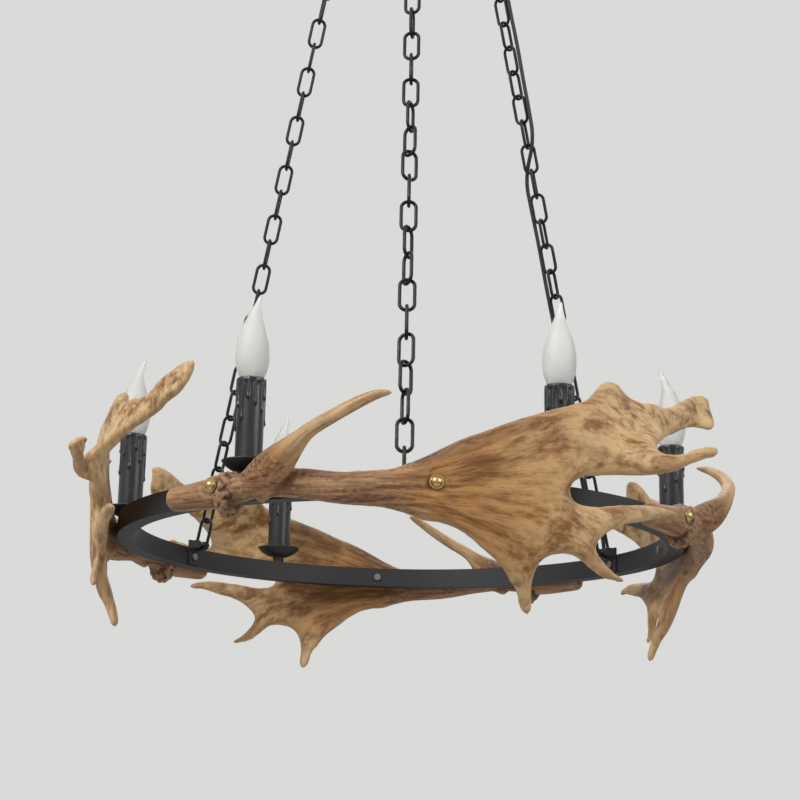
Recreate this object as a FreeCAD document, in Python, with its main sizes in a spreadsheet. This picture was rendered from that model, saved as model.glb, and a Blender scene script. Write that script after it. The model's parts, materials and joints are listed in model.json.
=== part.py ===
"""Antler chandelier: a steel hoop hung on three chains, with four cast antlers bolted round it
and six candle lamps on top.

Millimetres.  The origin is where the crossbar meets the ceiling, +Z is up, and the hoop's front
faces -Y.
"""
import FreeCAD, Part
import math
import os
from types import SimpleNamespace

import Sketcher
from FreeCAD import Matrix, Placement, Rotation, Vector

SIZES = {
    # Hoop: rectangular steel tube rolled into a ring, radius to its outer face.
    "hoop_radius": 319.5,
    "hoop_width": 18.0,
    "hoop_height": 23.0,
    "hoop_wall": 1.5,
    # Ceiling crossbar with its two slots, hollow nipple and lock nut.
    "crossbar_length": 104.0,
    "crossbar_width": 18.0,
    "crossbar_thickness": 2.5,
    "slot_spacing": 80.0,
    "slot_length": 14.0,
    "slot_width": 5.0,
    "nipple_radius": 5.0,
    "nipple_bore": 3.4,
    "nipple_length": 38.0,
    "nut_flats": 14.0,
    "nut_height": 4.0,
    # Canopy: a spun steel cup that hides the wiring.
    "canopy_radius": 62.0,
    "canopy_depth": 30.0,
    "canopy_wall": 1.2,
    "grip_offset": 26.0,
    "grip_radius": 6.0,
    "grip_flange": 2.0,
    "grip_tail": 9.0,
    "block_length": 22.0,
    "block_width": 16.0,
    "block_height": 12.0,
    # Hanging loop, connecting link and top ring: bent from the same wire.
    "wire_radius": 2.5,
    "loop_radius": 10.5,
    "loop_boss_radius": 8.5,
    "loop_boss_height": 13.0,
    "link_inner_length": 38.0,
    "link_inner_radius": 6.0,
    "link_nut_wall": 1.7,
    "ring_radius": 20.0,
    "running_gap": 0.3,
    # Chain: welded links, two sizes inside the wire and the wire itself.
    "chain_link_length": 28.4,
    "chain_link_width": 11.9,
    "chain_wire": 3.3,
    "chain_links": 45,
    "chain_spread": 7.0,
    # Chain brackets: a folded strap with two ears and a cross pin.
    "bracket_width": 18.0,
    "bracket_metal": 2.5,
    "bracket_drop": 9.5,
    "bracket_rise": 20.0,
    "pin_reach": 13.5,
    "pin_height": 14.0,
    "pin_radius": 2.0,
    # Fixings through hoop and antler.
    "screw_radius": 2.5,
    "screw_head_radius": 4.3,
    "screw_head_height": 2.6,
    "screw_clearance": 0.2,
    "screw_grip": 3.5,
    "standoff": 5.0,
    "standoff_radius": 7.5,
    "dome_radius": 7.0,
    "dome_height": 5.5,
    "dome_flange": 1.0,
    "spot_margin": 1.0,
    "burr_screw_angle": -32.5,
    "palm_screw_angle": 5.2,
    # Antler: a cast resin shed antler, its beam bent to the hoop.
    "beam_offset": 18.5,
    "beam_grip": 27.0,
    "palm_grip": 17.2,
    # Candle lamps.
    "candle_count": 6,
    "stem_radius": 7.0,
    "stem_height": 8.0,
    "spigot_radius": 4.8,
    "spigot_length": 4.0,
    "pan_radius": 27.0,
    "pan_depth": 11.0,
    "pan_wall": 1.0,
    "pan_foot": 15.0,
    "post_radius": 4.5,
    "sleeve_radius": 14.0,
    "sleeve_wall": 1.0,
    "sleeve_height": 94.0,
    "drip_radius": 2.0,
    "holder_radius": 12.4,
    "holder_height": 40.0,
    "holder_drop": 6.5,
    "cap_radius": 7.0,
    "cap_length": 24.0,
    "cap_contact": 3.0,
    "cap_clearance": 0.4,
    "glass_wall": 0.8,
    "glass_drop": 5.0,
    # Supply cable.
    "cable_radius": 2.4,
    "fit_clearance": 0.1,
    "grommet_angle": 35.0,
    "grommet_wall": 1.5,
    "grommet_height": 2.5,
    "loom_radius": 2.5,
}
CHAIN_ANGLES = {"front": -90.0, "right": 30.0, "left": 147.5}
ANTLER_ANGLES = {"front": -90.0, "right": 0.0, "back": 90.0, "left": 180.0}
# How far round each bulb stops in its socket, which is where its bent tip points.
BULB_TURNS = [180.0, 100.0, 60.0, 50.0, 62.0, 78.0]
# The share of a cable's shorter run that an arc takes up.
CORD_REACH = 0.45

doc = FreeCAD.newDocument("AntlerChandelier")
sheet = doc.addObject("Spreadsheet::Sheet", "Sizes")
for row, (alias, value) in enumerate(SIZES.items(), start=1):
    sheet.set(f"A{row}", alias)
    sheet.set(f"B{row}", str(value))
    sheet.setAlias(f"B{row}", alias)
doc.recompute()
dim = SimpleNamespace(**{alias: sheet.get(alias) for alias in SIZES})

PARTS = []


# ---------------------------------------------------------------- building blocks
def part(piece, label):
    """Names a finished sub-part."""
    piece.Label = label
    PARTS.append(piece)
    return piece


def number(formula):
    """The present value of a formula on the sheet."""
    return float(sheet.evalExpression(formula)) if isinstance(formula, str) else float(formula)


def at(x=0.0, y=0.0, z=0.0, axis=Vector(0, 0, 1), angle=0.0):
    return Placement(Vector(x, y, z), Rotation(axis, angle))


def on_hoop(angle, radius, z):
    """A frame on the hoop: X points outwards, Y along the hoop, Z up."""
    turn = Rotation(Vector(0, 0, 1), angle)
    return Placement(turn.multVec(Vector(radius, 0, 0)) + Vector(0, 0, z), turn)


def primitive(kind, name, place=None, **formulas):
    """A Part primitive whose sizes follow the sheet."""
    piece = doc.addObject("Part::" + kind, name)
    for size, formula in formulas.items():
        piece.setExpression(size, formula)
    if place:
        piece.Placement = place
    return piece


def fused(name, pieces):
    piece = doc.addObject("Part::MultiFuse", name)
    piece.Shapes = pieces
    return piece


def cut(name, base, tool):
    piece = doc.addObject("Part::Cut", name)
    piece.Base = base
    piece.Tool = tool
    return piece


def group(name, pieces):
    """Identical small parts that share one node."""
    piece = doc.addObject("Part::Compound", name)
    piece.Links = pieces
    return piece


def feature(name, shape, place=None):
    piece = doc.addObject("Part::Feature", name)
    piece.Shape = shape
    if place:
        piece.Placement = place
    return piece


def arc_between(start, end, radius):
    """The short arc of that radius; a positive one bulges to the left of the way from start."""
    chord = end - start
    right = Vector(chord.y, -chord.x, 0).normalize()
    depth = math.sqrt(radius * radius - chord.Length ** 2 / 4)
    centre = (start + end) * 0.5 + right * math.copysign(depth, radius)
    first, last = (end, start) if radius > 0 else (start, end)
    begin = math.atan2(first.y - centre.y, first.x - centre.x)
    finish = math.atan2(last.y - centre.y, last.x - centre.x)
    finish += 2 * math.pi if finish < begin else 0
    return Part.ArcOfCircle(Part.Circle(centre, Vector(0, 0, 1), abs(radius)), begin, finish)


def turned(name, outline, place=None):
    """A body turned about its Z axis.

    Each corner of the outline is (radius, height), or (radius, height, bend), where bend is the
    radius of the arc that leads to that corner.  All of them are formulas on the sheet.
    """
    body = doc.addObject("PartDesign::Body", name)
    sketch = body.newObject("Sketcher::SketchObject", name + "_outline")
    plane = [item for item in body.Origin.OriginFeatures if item.Role == "XZ_Plane"]
    sketch.AttachmentSupport = (plane[0], [""])
    sketch.MapMode = "FlatFace"
    corners = [Vector(number(c[0]), number(c[1]), 0) for c in outline]
    ends = []
    for index, corner in enumerate(outline):
        start, end = corners[index - 1], corners[index]
        if len(corner) == 3:
            bend = number(corner[2])
            edge = sketch.addGeometry(arc_between(start, end, bend), False)
            forward = bend < 0
            radius = sketch.addConstraint(Sketcher.Constraint("Radius", edge, abs(bend)))
            sketch.setExpression(f"Constraints[{radius}]", f"abs({corner[2]})")
        else:
            edge = sketch.addGeometry(Part.LineSegment(start, end), False)
            forward = True
        ends.append((edge, 1 if forward else 2, 2 if forward else 1))
    for index, (edge, first, last) in enumerate(ends):
        previous = ends[index - 1]
        sketch.addConstraint(Sketcher.Constraint("Coincident", previous[0], previous[2], edge, first))
    for (edge, first, last), corner in zip(ends, outline):
        for direction, formula in zip(("DistanceX", "DistanceY"), corner):
            value = number(formula)
            fixed = sketch.addConstraint(Sketcher.Constraint(direction, -1, 1, edge, last, value))
            sketch.setExpression(f"Constraints[{fixed}]", str(formula))
    turn = body.newObject("PartDesign::Revolution", name + "_turn")
    turn.Profile = sketch
    turn.ReferenceAxis = (sketch, ["V_Axis"])
    turn.Angle = 360
    body.Tip = turn
    if place:
        body.Placement = place
    return body


def wire_ring(radius, thickness, straight=0.0):
    """Round wire bent to a ring, or to a link with straight sides, in the XZ plane."""
    half = straight / 2
    across = Vector(radius, 0, 0)
    up = Vector(0, 0, half)
    top = Part.Arc(across + up, Vector(0, 0, half + radius), up - across)
    bottom = Part.Arc(-across - up, Vector(0, 0, -half - radius), across - up)
    edges = [top.toShape(), bottom.toShape()]
    if half:
        edges.insert(1, Part.LineSegment(up - across, -across - up).toShape())
        edges.append(Part.LineSegment(across - up, across + up).toShape())
    start = across + up
    section = Part.Wire(Part.makeCircle(thickness / 2, start, Vector(0, 0, 1)))
    return Part.Wire(edges).makePipeShell([section], True, False)


def limb(stations):
    """A tapering, smoothly bent form.

    Each station is (centre, way, up, half height, half thickness): way is the direction in
    which the form grows there, and up the direction of its height.
    """
    sections = []
    for centre, way, up, height, thickness in stations:
        way = Vector(way).normalize()
        side = Vector(up).cross(way).normalize()
        rise = way.cross(side)
        frame = Matrix(rise.x * height, side.x * thickness, way.x, centre.x,
                       rise.y * height, side.y * thickness, way.y, centre.y,
                       rise.z * height, side.z * thickness, way.z, centre.z,
                       0, 0, 0, 1)
        circle = Part.Wire(Part.makeCircle(1, Vector(), Vector(0, 0, 1)))
        sections.append(circle.transformGeometry(frame))
    return Part.makeLoft(sections, True, False)


# ---------------------------------------------------------------- heights and places
canopy_base = -dim.canopy_depth
loop_boss_end = canopy_base - dim.loop_boss_height
loop_sink = 1.0
loop_z = loop_boss_end + loop_sink - dim.loop_radius
link_pivot = loop_z - dim.loop_radius
link_z = link_pivot + dim.wire_radius + dim.running_gap - dim.link_inner_length / 2
ring_pivot = link_z - dim.link_inner_length / 2 - dim.wire_radius
ring_z = ring_pivot + 2 * dim.wire_radius + dim.running_gap - dim.ring_radius
ring_bottom = ring_z - dim.ring_radius

hoop_inner = dim.hoop_radius - dim.hoop_width
hoop_middle = dim.hoop_radius - dim.hoop_width / 2
strap_seat = math.sqrt(hoop_inner ** 2 - (dim.bracket_width / 2) ** 2)
head_seat = math.sqrt(hoop_inner ** 2 - dim.screw_head_radius ** 2)
pin_circle = strap_seat - dim.pin_reach
end_links = dim.chain_link_length - dim.wire_radius - dim.pin_radius - 2 * dim.running_gap
chain_pitch = dim.chain_link_length - dim.running_gap
chain_reach = (dim.chain_links - 1) * chain_pitch + end_links
hoop_z = ring_bottom - math.sqrt(chain_reach ** 2 - pin_circle ** 2) - dim.pin_height
hoop_top = hoop_z + dim.hoop_height / 2
antler_seat = dim.hoop_radius + dim.standoff
hole_radius = dim.screw_radius + dim.screw_clearance
screw_places = {
    "burr": (dim.burr_screw_angle, antler_seat + dim.beam_grip),
    "palm": (dim.palm_screw_angle, antler_seat + dim.palm_grip),
}
pan_floor = hoop_top + dim.stem_height
candle_angles = [index * 360 / int(dim.candle_count) for index in range(int(dim.candle_count))]


def radial(angle, radius, z=0.0):
    """A frame whose Z axis points out of the hoop, for fixings through its wall."""
    place = on_hoop(angle, radius, hoop_z + z)
    return Placement(place.Base, place.Rotation * Rotation(Vector(0, 1, 0), 90))


def antler_screws():
    """Angle, outer seat and head seat of each screw that holds an antler."""
    for name, centre in ANTLER_ANGLES.items():
        for place, (offset, seat) in screw_places.items():
            angle = centre + offset
            shared = any(abs(angle - other) < 0.01 for other in CHAIN_ANGLES.values())
            yield angle, seat, strap_seat - dim.bracket_metal if shared else head_seat


def bracket_screws():
    """Angles of the chain brackets that have a screw of their own."""
    taken = [angle for angle, seat, head in antler_screws()]
    return [a for a in CHAIN_ANGLES.values() if all(abs(a - other) > 0.01 for other in taken)]


# ---------------------------------------------------------------- ceiling fixing
def crossbar():
    """A steel strip with a central hole for the nipple and a slot each side for the ceiling screws."""
    bar = primitive("Box", "crossbar_strip",
                    at(-dim.crossbar_length / 2, -dim.crossbar_width / 2, -dim.crossbar_thickness),
                    Length="Sizes.crossbar_length", Width="Sizes.crossbar_width",
                    Height="Sizes.crossbar_thickness")
    deep = -2 * dim.crossbar_thickness
    tools = [primitive("Cylinder", "crossbar_hole", at(z=deep),
                       Radius="Sizes.nipple_radius + Sizes.fit_clearance",
                       Height="3 * Sizes.crossbar_thickness")]
    straight = dim.slot_length - dim.slot_width
    for side in (-1, 1):
        middle = side * dim.slot_spacing / 2
        tools.append(primitive("Box", "slot_middle",
                               at(middle - straight / 2, -dim.slot_width / 2, deep),
                               Length="Sizes.slot_length - Sizes.slot_width",
                               Width="Sizes.slot_width", Height="3 * Sizes.crossbar_thickness"))
        for end in (-1, 1):
            tools.append(primitive("Cylinder", "slot_end", at(middle + end * straight / 2, 0, deep),
                                   Radius="Sizes.slot_width / 2",
                                   Height="3 * Sizes.crossbar_thickness"))
    part(cut("crossbar_cut", bar, fused("crossbar_holes", tools)), "crossbar")


def nipple():
    """The hollow threaded rod that joins crossbar and hanging loop, and its lock nut."""
    rod = primitive("Cylinder", "nipple_rod", at(z=-dim.nipple_length),
                    Radius="Sizes.nipple_radius", Height="Sizes.nipple_length")
    bore = primitive("Cylinder", "nipple_core", at(z=-dim.nipple_length),
                     Radius="Sizes.nipple_bore", Height="Sizes.nipple_length")
    part(cut("nipple_cut", rod, bore), "hollow_nipple")
    seat = -dim.crossbar_thickness - dim.nut_height
    blank = primitive("Prism", "nut_blank", at(z=seat), Polygon="6",
                      Circumradius="Sizes.nut_flats / sqrt(3)", Height="Sizes.nut_height")
    thread = primitive("Cylinder", "nut_thread", at(z=seat),
                       Radius="Sizes.nipple_radius + Sizes.fit_clearance",
                       Height="Sizes.nut_height")
    part(cut("nut_cut", blank, thread), "nipple_nut")


def canopy():
    """A spun steel cup, open to the ceiling, with holes for the nipple and the cord grip."""
    hole = "Sizes.nipple_radius + Sizes.running_gap"
    cup = turned("canopy_cup", [
        ("Sizes.canopy_radius", "0"),
        ("Sizes.canopy_radius", "-Sizes.canopy_depth / 6"),
        ("Sizes.canopy_radius * 0.6", "-Sizes.canopy_depth", "Sizes.canopy_depth * 0.9"),
        (hole, "-Sizes.canopy_depth"),
        (hole, "Sizes.canopy_wall - Sizes.canopy_depth"),
        ("Sizes.canopy_radius * 0.6", "Sizes.canopy_wall - Sizes.canopy_depth"),
        ("Sizes.canopy_radius - Sizes.canopy_wall", "-Sizes.canopy_depth / 6",
         "Sizes.canopy_wall - Sizes.canopy_depth * 0.9"),
        ("Sizes.canopy_radius - Sizes.canopy_wall", "0"),
    ])
    hole = primitive("Cylinder", "grip_hole", at(dim.grip_offset, 0, canopy_base - dim.canopy_wall),
                     Radius="Sizes.grip_radius", Height="3 * Sizes.canopy_wall")
    part(cut("canopy_drilled", cup, hole), "ceiling_canopy")


def hanging_loop():
    """A cast boss screwed to the nipple under the canopy, with a closed loop below it."""
    boss = primitive("Cylinder", "loop_boss", at(z=loop_boss_end),
                     Radius="Sizes.loop_boss_radius", Height="Sizes.loop_boss_height")
    loop = primitive("Torus", "loop_wire", at(z=loop_z, axis=Vector(1, 0, 0), angle=90),
                     Radius1="Sizes.loop_radius", Radius2="Sizes.wire_radius")
    thread = primitive("Cylinder", "loop_thread", at(z=-dim.nipple_length),
                       Radius="Sizes.nipple_radius + Sizes.fit_clearance",
                       Height="Sizes.nipple_length - Sizes.canopy_depth")
    part(cut("loop_drilled", fused("loop_blank", [boss, loop]), thread), "hanging_loop")


def wiring():
    """The terminal block under the crossbar and the cord grip in the canopy below it."""
    corner = at(dim.grip_offset - dim.block_length / 2, -dim.block_width / 2,
                -dim.crossbar_thickness - dim.block_height)
    part(primitive("Box", "block_blank", corner, Length="Sizes.block_length",
                   Width="Sizes.block_width", Height="Sizes.block_height"), "terminal_block")
    flange = "Sizes.grip_radius + Sizes.grip_flange"
    neck = "Sizes.grip_radius - Sizes.fit_clearance"
    part(turned("grip_bush", [
        ("0", "-Sizes.grip_tail"), ("Sizes.cable_radius * 2", "-Sizes.grip_tail"),
        (flange, "-2 * Sizes.grip_flange"), (flange, "0"), (neck, "0"),
        (neck, "3 * Sizes.grip_flange"), ("0", "3 * Sizes.grip_flange"),
    ], at(dim.grip_offset, 0, canopy_base)), "cord_grip")


# ---------------------------------------------------------------- link, top ring and chains
def connecting_link():
    """An oval screw link on the hanging loop, in the YZ plane, and its threaded sleeve."""
    bend = dim.link_inner_radius + dim.wire_radius
    straight = dim.link_inner_length - 2 * dim.link_inner_radius
    shape = wire_ring(bend, 2 * dim.wire_radius, straight)
    part(feature("link_wire", shape, at(z=link_z, angle=90)), "connecting_link")
    sleeve_height = straight / 2
    place = at(0, bend, link_z - sleeve_height / 2)
    sleeve = Part.makeCylinder(dim.wire_radius + dim.link_nut_wall, sleeve_height)
    bore = Part.makeCylinder(dim.wire_radius + dim.fit_clearance / 2, sleeve_height)
    part(feature("link_nut", sleeve.cut(bore), place), "link_sleeve")


def top_ring():
    """The welded ring that gathers the three chains, in the XZ plane."""
    part(primitive("Torus", "ring_wire", at(z=ring_z, axis=Vector(1, 0, 0), angle=90),
                   Radius1="Sizes.ring_radius", Radius2="Sizes.wire_radius"), "top_ring")


def chain_ends(name):
    """Where a chain's first link sits on the ring's wire, where its last one holds the pin,
    and the way that each of the two runs."""
    spread = {"front": 0, "right": dim.chain_spread, "left": -dim.chain_spread}[name]
    drop = math.sqrt(dim.ring_radius ** 2 - spread ** 2)
    place = on_hoop(CHAIN_ANGLES[name], pin_circle, hoop_z + dim.pin_height)
    first_way = Vector(drop, 0, spread)
    return Vector(spread, 0, ring_z - drop), place.Base, first_way, place.Rotation.multVec(Vector(0, 1, 0))


def chain_frames(name):
    """A placement for each link, with Z up the chain and X across the link."""
    top, bottom, first_way, last_way = chain_ends(name)
    up = (top - bottom).normalize()
    first = first_way.cross(up).normalize()
    last = last_way.cross(up).normalize()
    twist = math.degrees(math.atan2(first.cross(last).dot(up), first.dot(last)))
    if abs(twist) > 90:
        twist -= math.copysign(180, twist)
    count = int(dim.chain_links)
    pitch = ((top - bottom).Length - end_links) / (count - 1)
    start = top + up * (dim.wire_radius + dim.running_gap - dim.chain_link_length / 2)
    straight = Rotation(first, up.cross(first), up, "ZXY")
    for index in range(count):
        turn = twist * index / (count - 1) + 90 * (index % 2)
        yield Placement(start - up * (pitch * index), straight * Rotation(Vector(0, 0, 1), turn))


def chains():
    """Three chains of welded links, each link turned a quarter from the one before."""
    bend = (dim.chain_link_width + dim.chain_wire) / 2
    straight = dim.chain_link_length - dim.chain_link_width
    link = wire_ring(bend, dim.chain_wire, straight)
    for name in CHAIN_ANGLES:
        links = []
        for place in chain_frames(name):
            one = link.copy()
            one.Placement = place
            links.append(one)
        part(feature("links_" + name, Part.makeCompound(links)), "chain_" + name)


def chain_brackets():
    """A folded strap on the hoop's inner face: a back plate, two ears and a cross pin."""
    wide = dim.bracket_width
    metal = dim.bracket_metal
    for name, angle in CHAIN_ANGLES.items():
        place = on_hoop(angle, strap_seat, hoop_z)
        back = primitive("Box", "back_" + name,
                         place * at(-metal, -wide / 2, -dim.bracket_drop),
                         Length="Sizes.bracket_metal", Width="Sizes.bracket_width",
                         Height="Sizes.bracket_drop + Sizes.bracket_rise")
        pieces = [back]
        for side in (-1, 1):
            edge = side * wide / 2 - (metal if side > 0 else 0)
            low = dim.pin_height - metal * 2
            pieces.append(primitive("Box", "ear_" + name, place * at(-dim.pin_reach, edge, low),
                                    Length="Sizes.pin_reach", Width="Sizes.bracket_metal",
                                    Height="4 * Sizes.bracket_metal"))
            pieces.append(primitive("Cylinder", "ear_end_" + name,
                                    place * at(-dim.pin_reach, edge, dim.pin_height)
                                    * at(axis=Vector(1, 0, 0), angle=-90),
                                    Radius="2 * Sizes.bracket_metal", Height="Sizes.bracket_metal"))
        pieces.append(primitive("Cylinder", "pin_" + name,
                                place * at(-dim.pin_reach, -wide / 2, dim.pin_height)
                                * at(axis=Vector(1, 0, 0), angle=-90),
                                Radius="Sizes.pin_radius", Height="Sizes.bracket_width"))
        hole = primitive("Cylinder", "strap_hole_" + name,
                         radial(angle, hoop_inner - 2 * metal),
                         Radius="Sizes.screw_radius + Sizes.screw_clearance",
                         Height="2 * Sizes.bracket_metal + Sizes.hoop_wall")
        part(cut("strap_" + name, fused("bracket_" + name, pieces), hole), "chain_bracket_" + name)


# ---------------------------------------------------------------- hoop
def hoop():
    """The rolled tube, drilled for the antler screws, bracket screws, lamp stems and cable."""
    outside = turned("hoop_outside", [
        ("Sizes.hoop_radius - Sizes.hoop_width", "-Sizes.hoop_height / 2"),
        ("Sizes.hoop_radius", "-Sizes.hoop_height / 2"),
        ("Sizes.hoop_radius", "Sizes.hoop_height / 2"),
        ("Sizes.hoop_radius - Sizes.hoop_width", "Sizes.hoop_height / 2"),
    ], at(z=hoop_z))
    hollow = turned("hoop_hollow", [
        ("Sizes.hoop_radius - Sizes.hoop_width + Sizes.hoop_wall",
         "Sizes.hoop_wall - Sizes.hoop_height / 2"),
        ("Sizes.hoop_radius - Sizes.hoop_wall", "Sizes.hoop_wall - Sizes.hoop_height / 2"),
        ("Sizes.hoop_radius - Sizes.hoop_wall", "Sizes.hoop_height / 2 - Sizes.hoop_wall"),
        ("Sizes.hoop_radius - Sizes.hoop_width + Sizes.hoop_wall",
         "Sizes.hoop_height / 2 - Sizes.hoop_wall"),
    ], at(z=hoop_z))
    tools = []
    for angle, seat, head in antler_screws():
        tools.append(primitive("Cylinder", "antler_drill", radial(angle, hoop_inner - 2),
                               Radius="Sizes.screw_radius + Sizes.screw_clearance",
                               Height="Sizes.hoop_width + 4"))
    for angle in bracket_screws():
        tools.append(primitive("Cylinder", "bracket_drill", radial(angle, hoop_inner - 2),
                               Radius="Sizes.screw_radius + Sizes.screw_clearance",
                               Height="Sizes.hoop_width / 2"))
    for angle in candle_angles:
        place = on_hoop(angle, hoop_middle, hoop_z + dim.hoop_height / 2 - 2 * dim.hoop_wall)
        tools.append(primitive("Cylinder", "stem_drill", place,
                               Radius="Sizes.spigot_radius + Sizes.fit_clearance",
                               Height="3 * Sizes.hoop_wall"))
    place = on_hoop(dim.grommet_angle, hoop_middle, hoop_z + dim.hoop_height / 2 - 2 * dim.hoop_wall)
    tools.append(primitive("Cylinder", "cable_drill", place,
                           Radius="Sizes.cable_radius + Sizes.grommet_wall + Sizes.fit_clearance",
                           Height="3 * Sizes.hoop_wall"))
    tube = cut("hoop_tube", outside, hollow)
    part(cut("hoop_drilled", tube, fused("hoop_holes", tools)), "hoop")


def hoop_wiring():
    """The wires that run round inside the tube, and the rubber grommet where the cable enters."""
    lying = at(z=hoop_z - dim.hoop_height / 2 + dim.hoop_wall + dim.loom_radius)
    part(primitive("Torus", "loom", lying, Radius1="Sizes.hoop_radius - Sizes.hoop_width / 2",
                   Radius2="Sizes.loom_radius"), "wiring_loom")
    neck = "Sizes.cable_radius + Sizes.grommet_wall"
    part(turned("grommet_bush", [
        ("0", "-Sizes.hoop_wall"), (neck, "-Sizes.hoop_wall"), (neck, "0"),
        ("Sizes.cable_radius + 2 * Sizes.grommet_wall", "0"), (neck, "Sizes.grommet_height"),
        ("0", "Sizes.grommet_height"),
    ], on_hoop(dim.grommet_angle, hoop_middle, hoop_top)), "cable_grommet")


# ---------------------------------------------------------------- antlers
def along_beam(angle, z, height, thickness):
    """A station of the beam, which follows the hoop."""
    turn = math.radians(angle)
    radius = dim.hoop_radius + dim.beam_offset
    centre = Vector(radius * math.sin(turn), -radius * math.cos(turn), z)
    return centre, Vector(math.cos(turn), math.sin(turn), 0), Vector(0, 0, 1), height, thickness


def on_palm(x, out, z, height, thickness, way=(1, 0, 0), up=(0, 0, 1)):
    """A station of the palm or of a tine: out is how far it stands off the hoop's radius."""
    return Vector(x, -dim.hoop_radius - out, z), Vector(way), Vector(up), height, thickness


def antler_shape():
    """One cast antler as it sits at the front of the hoop, about the hoop's centre."""
    beam = limb([
        along_beam(-41.5, -13, 11.5, 11),
        along_beam(-36, -11, 14.5, 14.5),
        along_beam(-32.5, -9, 16.5, 16.5),
        along_beam(-27, -5, 16.5, 15),
        along_beam(-17, -3, 17.5, 15),
        along_beam(-8, -8, 16.5, 14),
        along_beam(-2, -7, 20, 13),
        on_palm(20, 13.5, -5, 31, 10.5),
        on_palm(40, 11.5, -4, 39, 9),
        on_palm(65, 10.5, -3, 48, 8),
        on_palm(95, 9, -4, 62, 7.5),
        on_palm(130, 6, 5, 70, 7),
        on_palm(162, 2, 14, 74, 6),
    ])
    burr = limb([
        along_beam(-32.2, -10, 17, 15),
        along_beam(-31, -10, 23, 18),
        along_beam(-29.6, -10, 23, 18),
        along_beam(-28.6, -9, 17, 15),
    ])
    brow_tine = limb([
        on_palm(-118, -4, -2, 17, 14, way=(0.5, -0.2, 0.8), up=(-0.8, 0, 0.5)),
        on_palm(-104, 16, 27, 12, 11, way=(0.6, -0.45, 0.7), up=(-0.7, 0, 0.7)),
        on_palm(-83, 31, 50, 9.5, 9, way=(0.8, -0.2, 0.65), up=(-0.6, 0, 0.8)),
        on_palm(-58, 36, 67, 8, 8, way=(0.85, 0, 0.5), up=(-0.5, 0, 0.85)),
        on_palm(-32, 36, 81, 5.5, 6, way=(0.9, 0, 0.4), up=(-0.4, 0, 0.9)),
        on_palm(-12, 34, 88, 1.8, 2, way=(0.95, 0.1, 0.25), up=(-0.25, 0, 0.95)),
    ])
    top_branch = limb([
        on_palm(135, 5, 45, 36, 7),
        on_palm(175, 0, 55, 41, 7, way=(1, 0.2, 0)),
        on_palm(208, -10, 62, 43, 8, way=(1, 0.4, 0)),
        on_palm(235, -24, 70, 33, 9, way=(0.9, 0.5, 0.1)),
        on_palm(260, -44, 83, 21, 9, way=(0.8, 0.6, 0.3)),
        on_palm(285, -66, 99, 15, 9, way=(0.8, 0.6, 0.3)),
        on_palm(314, -88, 109, 14, 8, way=(0.8, 0.6, 0.2)),
    ])
    knob = limb([
        on_palm(190, -10, 84, 15, 7, way=(0.2, 0, 1), up=(-1, 0, 0.2)),
        on_palm(199, -14, 104, 10, 7, way=(0.3, 0, 1), up=(-1, 0, 0.3)),
        on_palm(203, -16, 116, 6, 4.5, way=(0.1, 0, 1), up=(-1, 0, 0.1)),
    ])
    outer_tine = limb([
        on_palm(205, 0, 34, 17, 7, way=(1, -0.1, -0.1)),
        on_palm(236, 8, 30, 11, 7, way=(1, -0.2, 0)),
        on_palm(264, 14, 30.5, 7, 6, way=(1, -0.2, 0.2)),
        on_palm(289, 19, 38, 5.5, 5, way=(1, -0.15, 0.3)),
        on_palm(304, 21, 42, 1.8, 1.8, way=(1, -0.1, 0.2)),
    ])
    middle_tine = limb([
        on_palm(135, 5, -34, 27, 7),
        on_palm(170, 0, -36, 26, 7),
        on_palm(200, -2, -25, 13.5, 7, way=(1, 0.1, 0.3)),
        on_palm(230, -7, -17.5, 9.5, 6.5, way=(1, 0.1, 0.1)),
        on_palm(252, -10, -16.5, 6.5, 5, way=(1, 0.1, -0.1)),
        on_palm(268, -12, -20, 1.8, 1.8, way=(1, 0, -0.3)),
    ])
    lower_tine = limb([
        on_palm(158, 2, -42, 17, 7, way=(0.75, 0, -0.65), up=(0.65, 0, 0.75)),
        on_palm(181, 3, -63, 9.5, 7, way=(0.75, -0.1, -0.65), up=(0.65, 0, 0.75)),
        on_palm(197, 7, -76, 7, 6, way=(0.75, -0.2, -0.6), up=(0.6, 0, 0.75)),
        on_palm(215, 12, -87, 1.8, 1.8, way=(0.8, -0.1, -0.5), up=(0.5, 0, 0.8)),
    ])
    long_tine = limb([
        on_palm(119, 7, -48, 35, 7, way=(0, 0, -1), up=(1, 0, 0)),
        on_palm(114, 4, -70, 27, 8, way=(0, 0.1, -1), up=(1, 0, 0)),
        on_palm(117, 1, -86, 15, 8, way=(0.1, 0.1, -1), up=(1, 0, 0)),
        on_palm(120, -2, -103, 8.5, 7, way=(0.15, 0.1, -1), up=(1, 0, 0)),
        on_palm(124, -5, -121, 1.8, 1.8, way=(0.2, 0.1, -1), up=(1, 0, 0)),
    ])
    tines = [burr, brow_tine, top_branch, knob, outer_tine, middle_tine, lower_tine, long_tine]
    solid = beam.fuse(tines)
    for angle, seat in screw_places.values():
        turn = math.radians(angle)
        out = Vector(math.sin(turn), -math.cos(turn), 0)
        reach = seat - dim.hoop_radius
        shank = Part.makeCylinder(hole_radius, 2 * reach, out * dim.hoop_radius, out)
        inner_spot = Part.makeCylinder(dim.standoff_radius + dim.spot_margin, reach,
                                       out * (antler_seat - reach), out)
        outer_spot = Part.makeCylinder(dim.dome_radius + dim.spot_margin, reach, out * seat, out)
        solid = solid.cut([shank, inner_spot, outer_spot])
    return solid


def antlers():
    """The same casting four times, each a quarter turn on."""
    shape = antler_shape()
    if len(shape.Solids) != 1:
        raise ValueError(f"the antler came out as {len(shape.Solids)} solids")
    for name, angle in ANTLER_ANGLES.items():
        one = feature("casting_" + name, shape.copy(), at(z=hoop_z, angle=angle + 90))
        part(one, "antler_" + name)


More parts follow.
